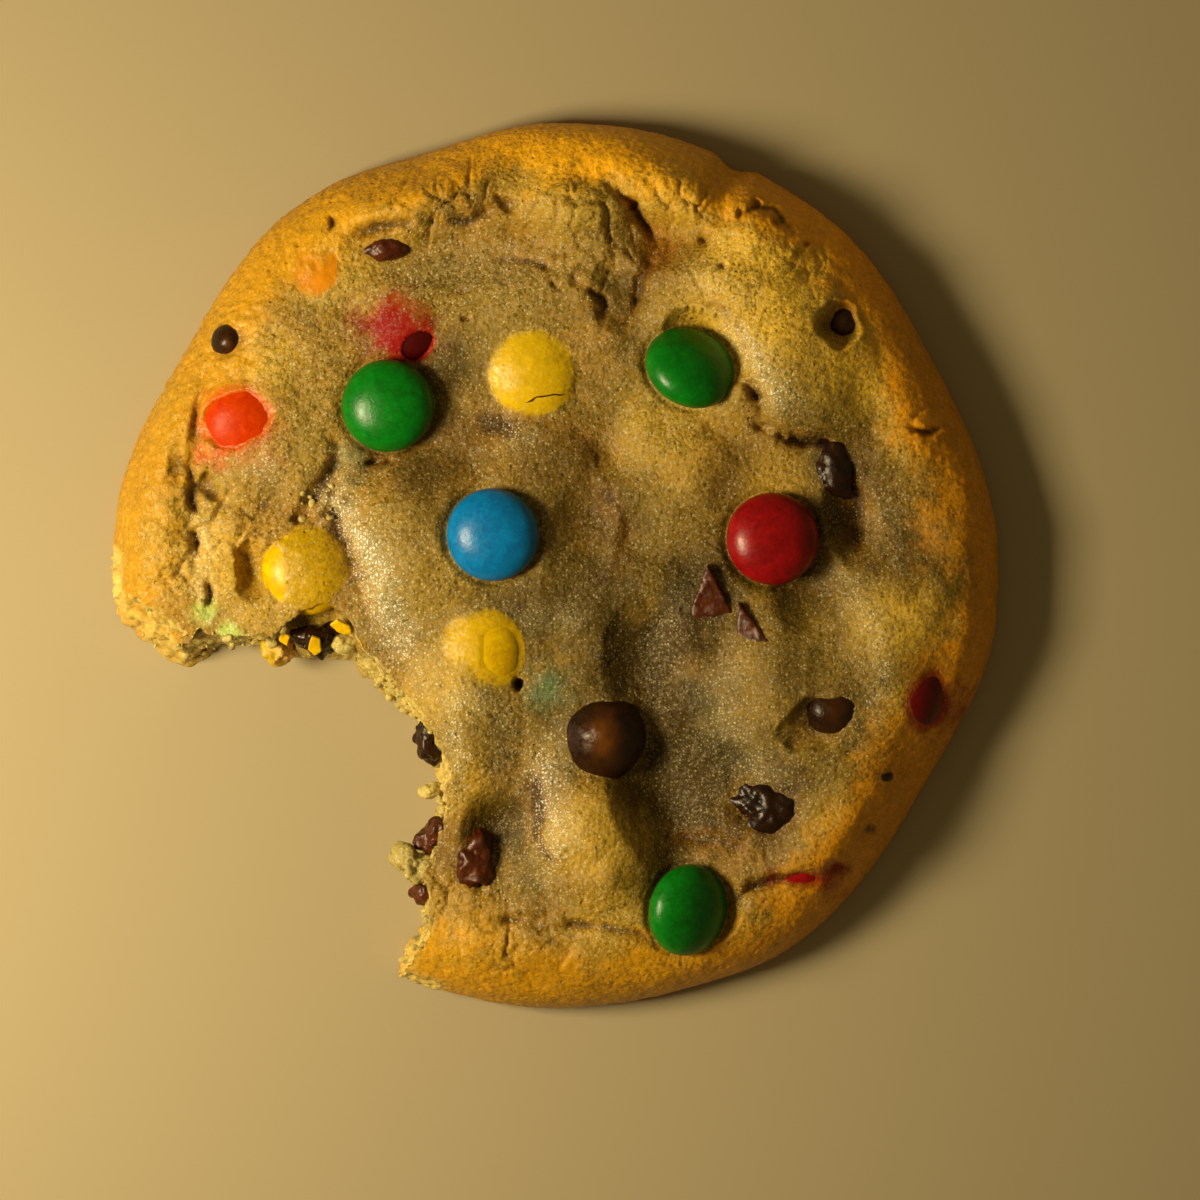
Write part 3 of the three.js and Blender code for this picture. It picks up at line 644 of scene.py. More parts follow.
def wrap_candies(x, y, z):
    """Lays the dough's film over the covered candies and tucks it in round the bare ones."""
    for node in CANDIES:
        centre = FRAMES[node][0]
        near = np.hypot(x - centre[0], y - centre[1]) < CANDY_REACH
        if centre[2] < BEDDED_BELOW:
            continue
        px, py, pz = x[near], y[near], z[near]
        top, out = candy_top(px, py, node)
        lumpy = noise(flat_points(px, py), 1.3, 31)
        if node in FILMS:
            film = np.where(np.isfinite(top), top, -50) + FILM_THICKNESS + 0.04 * lumpy
            gap = film - pz
            soft = 0.5 * (pz + film + np.sqrt(gap * gap + 0.25))
            wrapped = np.where(np.isfinite(top), soft - 0.02, pz)
            drop = DROPS.get(node, FILM_DROP) * bare_amount(px, py, node)
            pz = np.where(np.isfinite(top), wrapped - drop, wrapped)
        else:
            ring = np.exp(-(((out - 1.0) / 0.09) ** 2))
            lip = np.exp(-(((out - 1.25) / 0.16) ** 2))
            pz = pz - 0.45 * ring + 0.16 * lumpy * lip
            axis = FRAMES[node][1]
            waist = centre[2] - (axis[0] * (px - centre[0]) + axis[1] * (py - centre[1])) / axis[2]
            pz = np.where(out < 1.45, np.minimum(pz, waist + 1.2 + 8 * np.maximum(out - 1.02, 0)), pz)
            inside = np.where(np.isfinite(top), np.minimum(pz, top - 0.3), pz)
            pz = np.where(out < 0.97, inside, pz)
        z[near] = pz
    return z


def bare_amount(x, y, node):
    """How bare of film a covered candy is at a point, from 0 to 1."""
    if node not in BARE:
        return np.zeros_like(x)
    ragged = layers(flat_points(x, y), (0.12, 1.3, 41), (0.03, 0.6, 42))
    soft = 0.5 if node == "candy_yellow_lower" else 0.16
    return ease((1.0 - np.hypot(*in_oval(x, y, BARE[node])) + ragged) / soft)


def bite_lean(x, y):
    """How far the torn face leans back over its height: most at the left corner."""
    return 1.2 + 2.6 * ease((-33 - x) / 6) + 1.1 * ease(1 - np.hypot(x + 18.5, y + 11) / 7)


def core_notch(x, y, z):
    """How much further back the bite reaches in front of the bitten candy's core."""
    near = 1 - np.hypot((x + 24.2) / 1.25, y + 8) / 3.8
    return 4.0 * ease(1.6 * near) * ease((z - 2.5) / 5)


def bite_cutter():
    """A closed block whose one side is the torn face; the dough less this block is the bitten dough."""
    curve = np.array(BITE_EDGE, float)
    lengths = np.concatenate([[0], np.cumsum(np.hypot(*np.diff(curve, axis=0).T))])
    t = np.linspace(0, lengths[-1], int(lengths[-1] / 0.24))
    edge = np.stack([smooth_through(lengths, curve[:, k], t) for k in (0, 1)], 1)
    levels = np.linspace(CUTTER_LOW, CUTTER_HIGH, CUTTER_LEVELS)
    ring = np.concatenate([edge, np.array(BITE_BEYOND, float)])
    n = len(ring)
    points = np.concatenate([np.column_stack([ring, np.full(n, z)]) for z in levels])
    x, y, z = points.T
    lean = bite_lean(x, y)
    share = np.clip(z / FACE_HEIGHT, -0.1, 1.2) - 0.35
    on_wall = np.tile(np.arange(n) < len(edge), len(levels))
    tangent = np.gradient(edge, axis=0)
    outward = np.stack([-tangent[:, 1], tangent[:, 0]], 1)
    outward /= np.linalg.norm(outward, axis=1)[:, None]
    outward = np.concatenate([outward, np.zeros((len(BITE_BEYOND), 2))])
    normal = np.tile(outward, (len(levels), 1))
    rough = layers(points, (0.55, 2.0, 51), (0.34, 0.95, 52), (0.16, 0.5, 53))
    holes = np.maximum(0, noise(points, 1.5, 54) - 0.45) * 1.6
    push = np.where(on_wall, lean * share + rough + holes, 0)
    points[:, 1] += np.where(on_wall, core_notch(x, y, z), 0)
    points[:, :2] += normal * push[:, None]
    points[:, 2] += np.where(on_wall, 0.15 * noise(points, 0.8, 55), 0)
    points[:n, 2] = CUTTER_LOW
    points[-n:, 2] = CUTTER_HIGH
    faces = []
    for k in range(len(levels) - 1):
        for i in range(n):
            j = (i + 1) % n
            faces.append((k * n + j, k * n + i, (k + 1) * n + i, (k + 1) * n + j))
    faces.append(tuple(range(n)))
    faces.append(tuple(range(len(levels) * n - 1, (len(levels) - 1) * n - 1, -1)))
    return new_object("bite_cutter", points, faces)


def smooth_through(knots, values, at):
    """A smooth curve through the knots' values, read at those places."""
    slopes = np.gradient(values, knots)
    i = np.clip(np.searchsorted(knots, at) - 1, 0, len(knots) - 2)
    step = knots[i + 1] - knots[i]
    t = (at - knots[i]) / step
    start, leave = (1 + 2 * t) * (1 - t) ** 2, t * (1 - t) ** 2
    end, arrive = t * t * (3 - 2 * t), t * t * (t - 1)
    smooth = start * values[i] + leave * step * slopes[i]
    return smooth + end * values[i + 1] + arrive * step * slopes[i + 1]


def make_dough():
    """The bitten dough, with its grain, and what its shader reads as attributes."""
    dough = round_dough()
    cutter = bite_cutter()
    mod = dough.modifiers.new("bite", "BOOLEAN")
    mod.operation = "DIFFERENCE"
    mod.solver = "MANIFOLD"
    mod.object = cutter
    apply_modifiers(dough)
    bpy.data.objects.remove(cutter)

    co = points_of(dough)
    no = normals_of(dough)
    x, y, z = co.T
    to_bite = signed_to_bite(x, y)
    crumb = ease((4.6 - to_bite) / 1.2) * ease((0.62 - no[:, 2]) / 0.25) * (no[:, 0] + no[:, 1] < 0.2)
    crumb = np.maximum(crumb, ease((1.2 - to_bite) / 1.0) * 0.5)
    _, cracks, broad = relief(x, y)
    inset = inset_of(x, y)
    cracks = cracks * ease(inset / 3) * ease((z - 4) / 2)

    # the grain of bubbles and flakes, everywhere but underneath
    upper = ease((z - 0.4) / 1.0)
    crinkle = 1 - np.abs(noise(co, 2.6, 61) + 0.4 * noise(co, 1.2, 62))
    grain = layers(co, (0.07, 1.3, 63), (0.06, 0.62, 64)) - 0.07 * ease((crinkle - 0.84) / 0.16)
    grain += 0.07 * noise(co, 0.40, 65)
    bumps = upper * grain * (0.6 + 0.5 * ease((-x - 15) / 12) + 2.0 * crumb)

    films = []
    slick = np.zeros_like(x)
    patch = layers(co, (0.5, 1.2, 71), (0.35, 0.5, 72))
    for node, (colour, strength, spread, smooth) in FILMS.items():
        top, out = candy_top(x, y, node)
        depth = np.where(np.isfinite(top), z - top, 9)
        rag = 0.6 if node == "candy_red_top" else 0.3
        thin = ease((0.95 - depth) / 0.8 + rag * patch) * (z > 5)
        thin = thin * ease((spread - out + 0.10 * patch) / 0.2)
        films.append((colour, strength * thin))
        slick = np.maximum(slick, smooth * thin)
    tone, wet, gold, soaked_and_shaded, glaze_and_sheen = paint(co, crumb, cracks, broad, films)
    co = co + no * (bumps * (1 - 0.8 * slick))[:, None]
    co[:, 2] = np.maximum(co[:, 2], 0.0)
    set_points(dough, co)
    dough.data.materials.clear()
    for name, values in (
        ("tone", tone), ("wet", wet), ("crumb", crumb), ("slick", slick), ("gold", gold),
        ("soak_and_shade", np.clip(soaked_and_shaded, 0, 1)), ("glaze_and_sheen", glaze_and_sheen),
    ):
        set_attribute(dough, name, values)
    dough.data.shade_smooth()
    hand_in(dough, "dough", "dough")
    return dough


# ---- Candies, chips and lumps -------------------------------------------------
def lathe(profile, turns):
    """Points and faces of a closed turned shape, from its profile's lower pole to its upper one."""
    inner = profile[1:-1]
    angles = np.linspace(0, 2 * math.pi, turns, endpoint=False)
    points = [(r * math.cos(a), r * math.sin(a), z) for r, z in inner for a in angles]
    low, high = len(points), len(points) + 1
    points += [(0, 0, profile[0][1]), (0, 0, profile[-1][1])]
    faces = []
    for k in range(len(inner) - 1):
        for i in range(turns):
            j = (i + 1) % turns
            faces.append((k * turns + i, k * turns + j, (k + 1) * turns + j, (k + 1) * turns + i))
    last = (len(inner) - 1) * turns
    for i in range(turns):
        j = (i + 1) % turns
        faces.append((low, j, i))
        faces.append((last + i, last + j, high))
    return np.array(points), faces


def make_candy(node, slot):
    centre, axis = FRAMES[node]
    profile = [
        (CANDY_HALF_WIDTH * 0.995 * max(math.cos(s), 0) ** 0.92, CANDY_HALF_THICKNESS * math.sin(s))
        for s in np.linspace(-math.pi / 2, math.pi / 2, CANDY_RINGS)
    ]
    points, faces = lathe(profile, CANDY_TURNS)
    seed = sum(ord(c) for c in node) % 17
    points = points * (1 + 0.006 * noise(points, 2.4, seed))[:, None]
    turn = Vector((0, 0, 1)).rotation_difference(Vector(axis)).to_matrix()
    points = points @ np.array(turn).T + centre
    obj = new_object(node + "_shell", points, faces)
    set_attribute(obj, "shade", np.full(len(points), SHADED.get(node, 0.0)))
    hand_in(obj, slot, node)


def settle(points, node):
    """Moves points so that their box has its middle where the CAD node's has."""
    return points + middle(node) - (points.min(0) + points.max(0)) / 2


# node: radius, height, how far its tip leans and which way.
CHIPS = {
    "chip_centre": (4.4, 4.6, 10, 150),
    "chip_right": (3.5, 4.0, 25, 200),
    "chip_top_right": (2.3, 3.0, 10, 200),
    "chip_left": (1.8, 2.3, 0, 0),
}

# A chip's side from the middle of its base to its tip, as shares of its radius and height.
CHIP_SIDE = rows("""
    0 0; .55 0; .85 .02; .98 .10; 1 .2; .94 .36; .80 .55; .60 .74; .38 .89; .17 .975; 0 1
""")


def make_chip(node):
    radius, height, tip, direction = CHIPS[node]
    knots = np.arange(len(CHIP_SIDE), dtype=float)
    at = np.linspace(0, knots[-1], CHIP_RINGS)
    r, z = (smooth_through(knots, np.array(shares), at) for shares in zip(*CHIP_SIDE))
    r[0] = r[-1] = 0
    points, faces = lathe(list(zip(np.maximum(r * radius, 0), z * height)), CHIP_TURNS)
    seed = len(node)
    points = points * (1 + 0.035 * noise(points, 2.6, seed) + 0.012 * noise(points, 0.9, seed + 1))[:, None]
    a = math.radians(direction)
    turn = Matrix.Rotation(math.radians(tip), 3, Vector((-math.sin(a), math.cos(a), 0)))
    points = settle(points @ np.array(turn).T, node)
    obj = new_object(node + "_drop", points, faces)
    x, y, _ = (points - middle(node)).T / radius
    # a painted glow of light on the chip's top, strongest on the centre chip
    spot = np.exp(-(((x - 0.05) / 0.30) ** 2) - ((y / 0.5) ** 2)) * (0.8 + 0.4 * noise(points, 0.9, 33))
    set_attribute(obj, "painted_glow", np.clip((0.9 if node == "chip_centre" else 0.35) * spot, 0, 1))
    hand_in(obj, "dark_chocolate", node)


def rough_lump(centre, halves, amount, seed, subdivisions=5):
    """Points and faces of a lump of those half sizes, roughened by that share of them."""
    bm = bmesh.new()
    bmesh.ops.create_icosphere(bm, subdivisions=subdivisions, radius=1)
    points = np.array([v.co for v in bm.verts])
    faces = [[v.index for v in f.verts] for f in bm.faces]
    bm.free()
    scaled = points * halves
    rough = layers(scaled, (0.55, 1.9, seed), (0.30, 0.9, seed + 1), (0.16, 0.42, seed + 2))
    return scaled * (1 + amount * rough)[:, None] + centre, faces


# Lumps of chocolate by node, less its first word: the kind, and how rough the lump is.
LUMPS = {
    "film_right": ("dark", 0.35),
    "film_bottom": ("dark", 0.45),
    "film_top": ("milk", 0.35),
    "fleck_right": ("dark", 0.3),
    "fold_bite": ("milk", 0.6),
    "bite_upper": ("dark", 0.7),
    "bite_middle": ("milk", 0.7),
    "bite_lower": ("milk", 0.7),
    "in_candy": ("dark", 0.7),
}


def make_lump(node, slot, amount):
    low, high = (np.array(c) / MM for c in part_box(node))
    seed = len(node) + ord(node[-1])
    points, faces = rough_lump((low + high) / 2, (high - low) / 2, amount, seed)
    hand_in(new_object(node + "_broken", points, faces), slot, node)


def make_flake(node, slot, size, amount):
    """A thin broken piece: the solid's own shape, rounded and roughened."""
    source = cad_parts[node]
    obj = bpy.data.objects.new(node + "_broken", source.data.copy())
    bpy.context.scene.collection.objects.link(obj)
    mod = obj.modifiers.new("remesh", "REMESH")
    mod.mode = "VOXEL"
    mod.voxel_size = size * MM
    smooth = obj.modifiers.new("smooth", "SMOOTH")
    smooth.iterations = 6
    apply_modifiers(obj)
    co, no = points_of(obj), normals_of(obj)
    bumps = amount * layers(co, (1, 0.9, 81), (0.6, 0.4, 82))
    set_points(obj, co + no * bumps[:, None])
    obj.data.materials.clear()
    obj.data.shade_smooth()
    hand_in(obj, slot, node)


# ---- Materials ---------------------------------------------------------------
class Nodes:
    """A short way to write a material's node tree."""

    def __init__(self, name):
        self.material = bpy.data.materials.new(name)
        self.material.use_nodes = True
        self.tree = self.material.node_tree
        self.shader = self.tree.nodes["Principled BSDF"]
        coords = self.tree.nodes.new("ShaderNodeTexCoord")
        self.coords = coords.outputs["Object"]

    def new(self, kind, slots=(), **settings):
        """A new node with these settings, and values or other nodes' outputs in its slots."""
        node = self.tree.nodes.new(kind)
        for key, value in settings.items():
            setattr(node, key, value)
        for key, value in dict(slots).items():
            self.feed(node.inputs[key], value)
        return node

    def feed(self, slot, value):
        if hasattr(value, "is_output"):
            self.tree.links.new(value, slot)
        else:
            slot.default_value = value

    def attribute(self, name, output="Fac"):
        return self.new("ShaderNodeAttribute", attribute_name=name).outputs[output]

    def noise(self, size_mm, detail, rough, warp=0.0):
        slots = {"Scale": 1 / (size_mm * MM), "Detail": detail, "Roughness": rough, "Distortion": warp}
        return self.new("ShaderNodeTexNoise", {**slots, "Vector": self.coords}).outputs["Fac"]

    def cells(self, size_mm):
        return self.new("ShaderNodeTexVoronoi", {"Scale": 1 / (size_mm * MM), "Vector": self.coords})

    def remap(self, value, low, high, to_low, to_high):
        slots = {"From Min": low, "From Max": high, "To Min": to_low, "To Max": to_high}
        return self.new("ShaderNodeMapRange", {**slots, "Value": value}).outputs["Result"]

    def math(self, operation, *values, kind="ShaderNodeMath"):
        return self.new(kind, enumerate(values), operation=operation).outputs[0]

    def vector(self, operation, *values):
        return self.math(operation, *values, kind="ShaderNodeVectorMath")

    def times(self, first, *others):
        for other in others:
            first = self.math("MULTIPLY", first, other)
        return first

    def span(self, share, low, high):
        """From low to high as the share goes from 0 to 1."""
        return self.remap(share, 0.0, 1.0, low, high)

    def one_channel(self, colour):
        return self.new("ShaderNodeSeparateColor", {0: colour}).outputs[0]

    def mix(self, factor, *colours):
        first, second = (c if hasattr(c, "is_output") else (*c, 1) for c in colours)
        return self.new("ShaderNodeMix", {0: factor, 6: first, 7: second}, data_type="RGBA").outputs[2]

    def bump(self, height, distance_mm, strength=1.0, under=None):
        slots = {"Distance": distance_mm * MM, "Strength": strength, "Height": height}
        if under is not None:
            slots["Normal"] = under
        return self.new("ShaderNodeBump", slots).outputs["Normal"]

    def tilted(self, normal, random, amount):
        """The normal tipped at random from cell to cell, which makes small facets."""
        tip = self.vector("MULTIPLY", self.vector("SUBTRACT", random, (0.5, 0.5, 0.5)), amount)
        return self.vector("NORMALIZE", self.vector("ADD", normal, tip))

    def set(self, **values):
        for key, value in values.items():
            self.feed(self.shader.inputs[key.replace("_", " ")], value)


# Sugar crystals on the dough, drawn as pale dots of painted glint: size of the crystals, share of them that
# shows, how much it brightens.
SUGAR_AND_GLINTS = rows(".30 .62 .56; .19 .64 .46")
SUGAR_GLINT_GOLD, SUGAR_GLINT_PALE, SUGAR_GLINT_DIM = (0.68, 0.55, 0.22), (0.96, 0.90, 0.66), (0.66, 0.50, 0.18)


def dough_material():
    """Baked dough: the painted tone with a grain, sugar crystals drawn as pale dots of painted glint, and a
    wet, faceted gloss.
    """
    n = Nodes("baked_dough")
    tone = n.attribute("tone", "Color")
    wet, slick, gold, soak_and_shade, glaze_and_sheen = map(n.attribute, ("wet", "slick", "gold", "soak_and_shade", "glaze_and_sheen"))
    dull = n.times(n.span(slick, 1.0, 0.15), n.span(gold, 1.0, 0.6))  # neither filmy nor toasted
    grain = n.noise(0.5, 5, 0.75)
    specks = n.noise(1.1, 5, 0.75)
    small, large = n.cells(0.24), n.cells(0.5)
    light = [n.one_channel(cells.outputs["Color"]) for cells in (small, large)]
    pricks = n.remap(n.cells(1.7).outputs["Distance"], 0.05, 0.12, 0.0, 1.0)
    shade = n.remap(grain, 0.36, 0.64, 0.90, 1.12)
    parts = ((specks, 0.3, 0.7, 0.93, 1.08), (light[0], 0, 1, 0.88, 1.14), (light[1], 0, 1, 0.92, 1.08))
    for part in (*parts, (pricks, 0, 1, 0.75, 1)):
        shade = n.times(shade, n.remap(*part))
    shade = n.math("ADD", n.times(n.math("SUBTRACT", shade, 1.0), dull), 1.0)
    colour = n.vector("MULTIPLY", tone, shade)
    for size, share, much in SUGAR_AND_GLINTS:
        crystals = n.cells(size)
        chosen = n.math("ADD", n.one_channel(crystals.outputs["Color"]), n.times(glaze_and_sheen, 0.30))
        dot = n.times(
            n.remap(chosen, share, share + 0.2, 0.0, much),
            n.remap(crystals.outputs["Distance"], 0.2, 0.42, 1.0, 0.0),
            n.times(dull, n.span(soak_and_shade, 1.0, 0.55)),
            n.span(gold, 1.0, 0.5),
            n.span(glaze_and_sheen, 1.0, 1.6),
        )
        # painted glints: the dots' colour, paler where the painted sheen lies
        sugar = n.mix(soak_and_shade, n.mix(glaze_and_sheen, SUGAR_GLINT_GOLD, SUGAR_GLINT_PALE), SUGAR_GLINT_DIM)
        colour = n.mix(dot, colour, sugar)
    rough = n.math("SUBTRACT", n.span(wet, 0.34, 0.25), n.times(glaze_and_sheen, 0.05))
    tint = n.mix(gold, (1.0, 0.98, 0.85), (1.0, 0.80, 0.42))
    tint = n.mix(soak_and_shade, tint, (1.0, 0.80, 0.42))
    fine = n.bump(n.times(grain, dull), 0.16, 1.0)
    fine = n.bump(n.times(large.outputs["Distance"], dull), -0.08, 1.0, fine)
    fine = n.bump(pricks, 0.1, 1.0, fine)
    glint = n.math("SUBTRACT", n.remap(light[0], 0.4, 0.9, 0.15, 0.9), 0.18)
    glint = n.math("ADD", n.times(glint, dull), 0.18)
    uneven = n.times(dull, n.span(soak_and_shade, 1.0, 0.6))
    for cells, tilt in ((small, 0.60), (large, 0.30)):
        fine = n.tilted(fine, cells.outputs["Color"], n.times(uneven, tilt))
    n.set(Base_Color=colour, Roughness=rough, Normal=fine)
    n.set(Subsurface_Weight=0.10, Subsurface_Radius=(1.0, 0.5, 0.15), Subsurface_Scale=0.0005)
    n.set(Specular_IOR_Level=glint, Specular_Tint=tint)
    return n.material


def candy_material(name, colour, deep, shine=0.28):
    """A sugar shell: blotched, with pale pinpricks and clouds, and darkened by painted shade where it lies
    in a hollow.
    """
    n = Nodes(name)
    blotch = n.remap(n.noise(1.6, 4, 0.6, 0.6), 0.35, 0.7, 0.0, 1.0)
    base = n.mix(blotch, tuple(colour), tuple(deep))
    pin = n.cells(0.9)
    pale = n.remap(pin.outputs["Distance"], 0.0, 0.06, 0.2, 0.0)
    base = n.mix(pale, base, tuple(np.clip(np.array(colour) * 1.5 + 0.05, 0, 1)))
    cloud = n.remap(n.noise(0.9, 5, 0.7, 1.2), 0.50, 0.72, 0.0, 0.35)
    base = n.mix(cloud, base, tuple(np.clip(np.array(colour) * 1.9 + 0.002, 0, 1)))
    # painted shade on shells deep in a hollow
    shade = n.attribute("shade")
    base = n.mix(shade, base, tuple(np.array(deep) * 0.16))
    rough = n.remap(n.noise(0.5, 5, 0.7), 0.3, 0.7, 0.22, 0.40)
    bump = n.bump(n.noise(0.35, 3, 0.6), 0.03, 0.8)
    bump = n.bump(n.noise(2.2, 2, 0.5), 0.10, 0.35, bump)
    n.set(Base_Color=base, Roughness=rough, Normal=bump)
    n.set(Specular_IOR_Level=shine, Specular_Tint=(1.0, 0.93, 0.72, 1))
    n.set(Subsurface_Weight=0.05, Subsurface_Radius=(1.0, 0.5, 0.3), Subsurface_Scale=0.0005)
    return n.material


def chocolate_material(name, colour, pale, grain_mm):
    """Chocolate: patchy, uneven, and with a painted glow of light on the chips' tops."""
    n = Nodes(name)
    patch = n.remap(n.noise(1.5, 5, 0.65, 0.4), 0.38, 0.68, 0.0, 1.0)
    base = n.mix(patch, tuple(colour), tuple(pale))
    # painted glow of light
    painted_glow = n.attribute("painted_glow")
    base = n.mix(painted_glow, base, tuple(linear(112, 60, 6)))
    rough = n.remap(n.noise(0.7, 4, 0.6), 0.3, 0.7, 0.16, 0.42)
    bump = n.bump(n.noise(grain_mm, 5, 0.65), 0.12, 0.6)
    n.set(Base_Color=base, Roughness=rough, Normal=bump)
    n.set(Specular_IOR_Level=0.35, Specular_Tint=(1.0, 0.85, 0.6, 1), Coat_Weight=0.05, Coat_Roughness=0.2)
    n.set(Subsurface_Weight=0.05, Subsurface_Radius=(1.0, 0.5, 0.3), Subsurface_Scale=0.0004)
    return n.material


MATERIALS = {
    "dough": dough_material(),
    "candy_green": candy_material("green_shell", linear(0, 106, 12), linear(0, 82, 6)),
    "candy_blue": candy_material("blue_shell", linear(0, 108, 152), linear(0, 88, 132)),
    "candy_red": candy_material("red_shell", linear(144, 5, 8), linear(110, 2, 5)),
    "candy_yellow": candy_material("yellow_shell", linear(214, 168, 0), linear(186, 134, 0), 0.2),
    "candy_orange": candy_material("orange_shell", linear(184, 52, 0), linear(168, 36, 0), 0.06),
    "dark_chocolate": chocolate_material("dark_chocolate", linear(20, 6, 1), linear(44, 17, 2), 0.5),
    "milk_chocolate": chocolate_material("milk_chocolate", linear(54, 18, 3), linear(88, 36, 8), 0.4),
}


# ---- Crumbs -------------------------------------------------------------------
# The larger crumbs on the torn edge: x, y, z, and half sizes.
BITE_CRUMBS = rows("""
    -14.2 -30.2 7.4 1.9 1.8 1.4; -12.6 -22.6 6.6 1.2 .9 .9; -21 -7.9 7.4 1.2 1 .9;
    -14.9 -39.9 2.4 .9 .6 .7
""")


def make_crumbs(dough):
    """Small crumbs that cling to the torn face and lie in the crumbly crack."""
    co = points_of(dough)
    no = normals_of(dough)
    on_face = np.zeros(len(co), np.float32)
    dough.data.attributes["crumb"].data.foreach_get("value", on_face)
    x, y, z = co.T
    torn = np.flatnonzero((on_face > 0.7) & (z > 0.8) & (np.hypot(x, y) < 43.5))
    crack = np.flatnonzero((np.hypot(x + 24.0, y - 6.4) < 2.6) & (no[:, 2] > 0.4))
    spots = [*RNG.choice(torn, CRUMBS_ON_FACE, replace=False)]
    spots += [*RNG.choice(crack, CRUMBS_IN_CRACK, replace=False)]
    all_points, all_faces, tones = [], [], []
    start = 0
    lumps = [(np.array(c[:3]), np.array(c[3:]), 4) for c in BITE_CRUMBS]
    for k, i in enumerate(spots):
        size = 0.18 + (0.45 if k < CRUMBS_ON_FACE else 0.2) * RNG.rand() ** 2
        lumps.append((co[i] + no[i] * 0.25 * size, size * RNG.uniform(0.7, 1.25, 3), 3))
    for k, (place, halves, detail) in enumerate(lumps):
        points, faces = rough_lump(place, halves, 0.9, 90 + k % 7, detail)
        points[:, 2] = np.maximum(points[:, 2], 0.02)
        all_points.append(points)
        all_faces += [tuple(v + start for v in f) for f in faces]
        tones.append(np.tile(CRUMB * RNG.uniform(0.65, 1.0), (len(points), 1)))
        start += len(points)
    obj = new_object("bite_crumbs", np.concatenate(all_points), all_faces)
    set_attribute(obj, "tone", np.clip(np.concatenate(tones), 0, 1))
    set_attribute(obj, "wet", np.full(start, 0.25))
    set_attribute(obj, "slick", np.zeros(start))
    hand_in(obj, "crumb")


def make_yellow_crumb():
    """The crumb with a smear of the shell's yellow that hangs from the bite."""
    low, high = (np.array(c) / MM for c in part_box("crumb_yellow"))
    centre, halves = (low + high) / 2, (high - low) / 2
    points, faces = rough_lump(centre, halves, 0.6, 57)
    obj = new_object("crumb_yellow_broken", points, faces)
    x, y, _ = (points - centre).T
    smear = ease((-0.35 - x - 0.8 * y + 0.8 * noise(points, 0.8, 58)) / 0.6)
    set_attribute(obj, "tone", mix(np.tile(linear(226, 170, 70), (len(points), 1)), YELLOW, smear))
    set_attribute(obj, "wet", np.full(len(points), 0.6))
    set_attribute(obj, "slick", 0.5 * smear)
    hand_in(obj, "crumb", "crumb_yellow")


def make_film_crack(dough):
    """A hair crack in the smooth film over the top yellow candy: a thin ribbon lying on it, dark with
    painted shadow.
    """
    path = np.array(rows("-3.1 16.2; -2.4 16.35; -1.9 16.75; -1 16.8; -.2 17; .5 16.95; 1.1 17.1"))
    knots = np.arange(len(path), dtype=float)
    at = np.linspace(0, len(path) - 1, 40)
    line = np.stack([smooth_through(knots, path[:, k], at) for k in (0, 1)], 1)
    line[:, 1] += 0.05 * noise(flat_points(*line.T), 0.5, 66)
    half = 0.085 * ease(5 * np.minimum(at, at[-1] - at) / at[-1])
    half = half * (1 + 0.5 * noise(flat_points(*line.T), 0.7, 67))
    sideways = np.gradient(line, axis=0)[:, ::-1] * (-1, 1)
    sideways /= np.linalg.norm(sideways, axis=1)[:, None]
    rims = [line + k * half[:, None] * sideways for k in (-1, 1)]
    co = points_of(dough)
    points = []
    for rim in rims:
        nearest = [np.argmin(np.hypot(co[:, 0] - a, co[:, 1] - b) + (co[:, 2] < 5) * 9) for a, b in rim]
        heights = co[nearest, 2]
        smooth = np.convolve(np.pad(heights, 3, mode="edge"), np.ones(7) / 7, mode="valid")
        points.append(np.column_stack([rim, smooth + 0.06]))
    many = len(line)
    faces = [(i, i + 1, many + i + 1, many + i) for i in range(many - 1)]
    obj = new_object("film_crack", np.concatenate(points), faces)
    n = Nodes("crack_shadow")
    n.set(Base_Color=(*linear(66, 34, 6), 1), Roughness=0.8, Specular_IOR_Level=0.1)
    hand_in(obj, "dough", material=n.material)


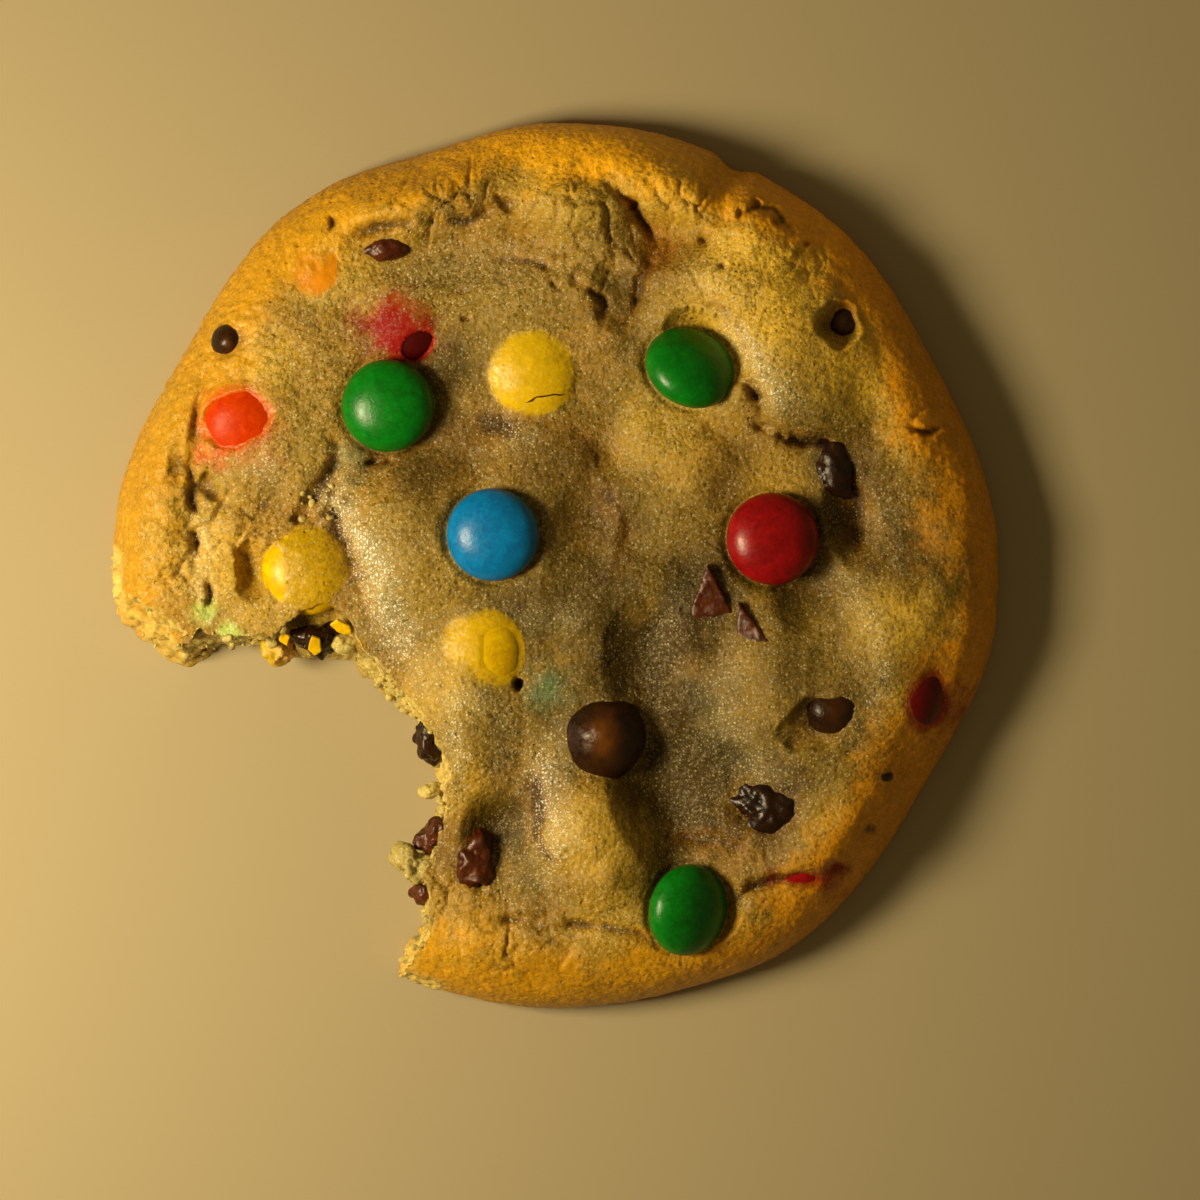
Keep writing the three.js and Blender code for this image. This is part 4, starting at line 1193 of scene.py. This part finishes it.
MATERIALS["crumb"] = MATERIALS["dough"]
dough = make_dough()
make_crumbs(dough)
make_film_crack(dough)
make_yellow_crumb()
for node in CANDIES:
    make_candy(node, "_".join(node.split("_")[:2]))
for node in CHIPS:
    make_chip(node)
for name, (kind, amount) in LUMPS.items():
    make_lump("chocolate_" + name, kind + "_chocolate", amount)
for node in ("shard_upper", "shard_lower"):
    make_flake(node, "milk_chocolate", 0.14, 0.10)
for node in ("shell_flake_1", "shell_flake_2", "shell_flake_3"):
    make_flake(node, "candy_yellow", 0.10, 0.06)


# ---- Floor, light and camera ---------------------------------------------------
def make_floor():
    corners = [(x * FLOOR_HALF, y * FLOOR_HALF, 0) for x, y in ((-1, -1), (1, -1), (1, 1), (-1, 1))]
    floor = new_object("floor", corners, [(0, 1, 2, 3)])
    floor.location.z = FLOOR_Z * MM
    n = Nodes("floor_card")
    n.set(Base_Color=(*linear(162, 142, 98), 1), Roughness=0.85, Specular_IOR_Level=0.2)
    floor.data.materials.append(n.material)


def make_lights():
    """A low warm window on the left, and a dim warm room."""
    lamp = bpy.data.lights.new("window", "AREA")
    lamp.shape = "RECTANGLE"
    lamp.size, lamp.size_y = 75 * MM, 60 * MM
    lamp.energy = 0.70
    lamp.color = (1.0, 0.91, 0.72)
    obj = bpy.data.objects.new("window", lamp)
    obj.location = (-154 * MM, -18 * MM, 145 * MM)
    obj.rotation_euler = (-obj.location).to_track_quat("-Z", "Y").to_euler()
    bpy.context.scene.collection.objects.link(obj)
    world = bpy.data.worlds.new("room")
    bpy.context.scene.world = world
    world.use_nodes = True
    background = world.node_tree.nodes["Background"]
    background.inputs["Color"].default_value = (1.0, 0.84, 0.48, 1)
    background.inputs["Strength"].default_value = 0.15


def make_camera():
    """The photograph's view, straight down."""
    camera = bpy.data.cameras.new("camera")
    camera.sensor_width = SENSOR_WIDTH
    camera.lens = SENSOR_WIDTH * CAMERA_AWAY / FRAME_WIDTH
    camera.clip_start = 0.01
    obj = bpy.data.objects.new("camera", camera)
    obj.location = (4.5 * MM, -3.5 * MM, (CAMERA_AWAY + 9) * MM)
    bpy.context.scene.collection.objects.link(obj)
    bpy.context.scene.camera = obj


make_floor()
make_lights()
make_camera()
bpy.context.scene.view_settings.view_transform = "Standard"
bpy.context.scene.view_settings.look = "None"
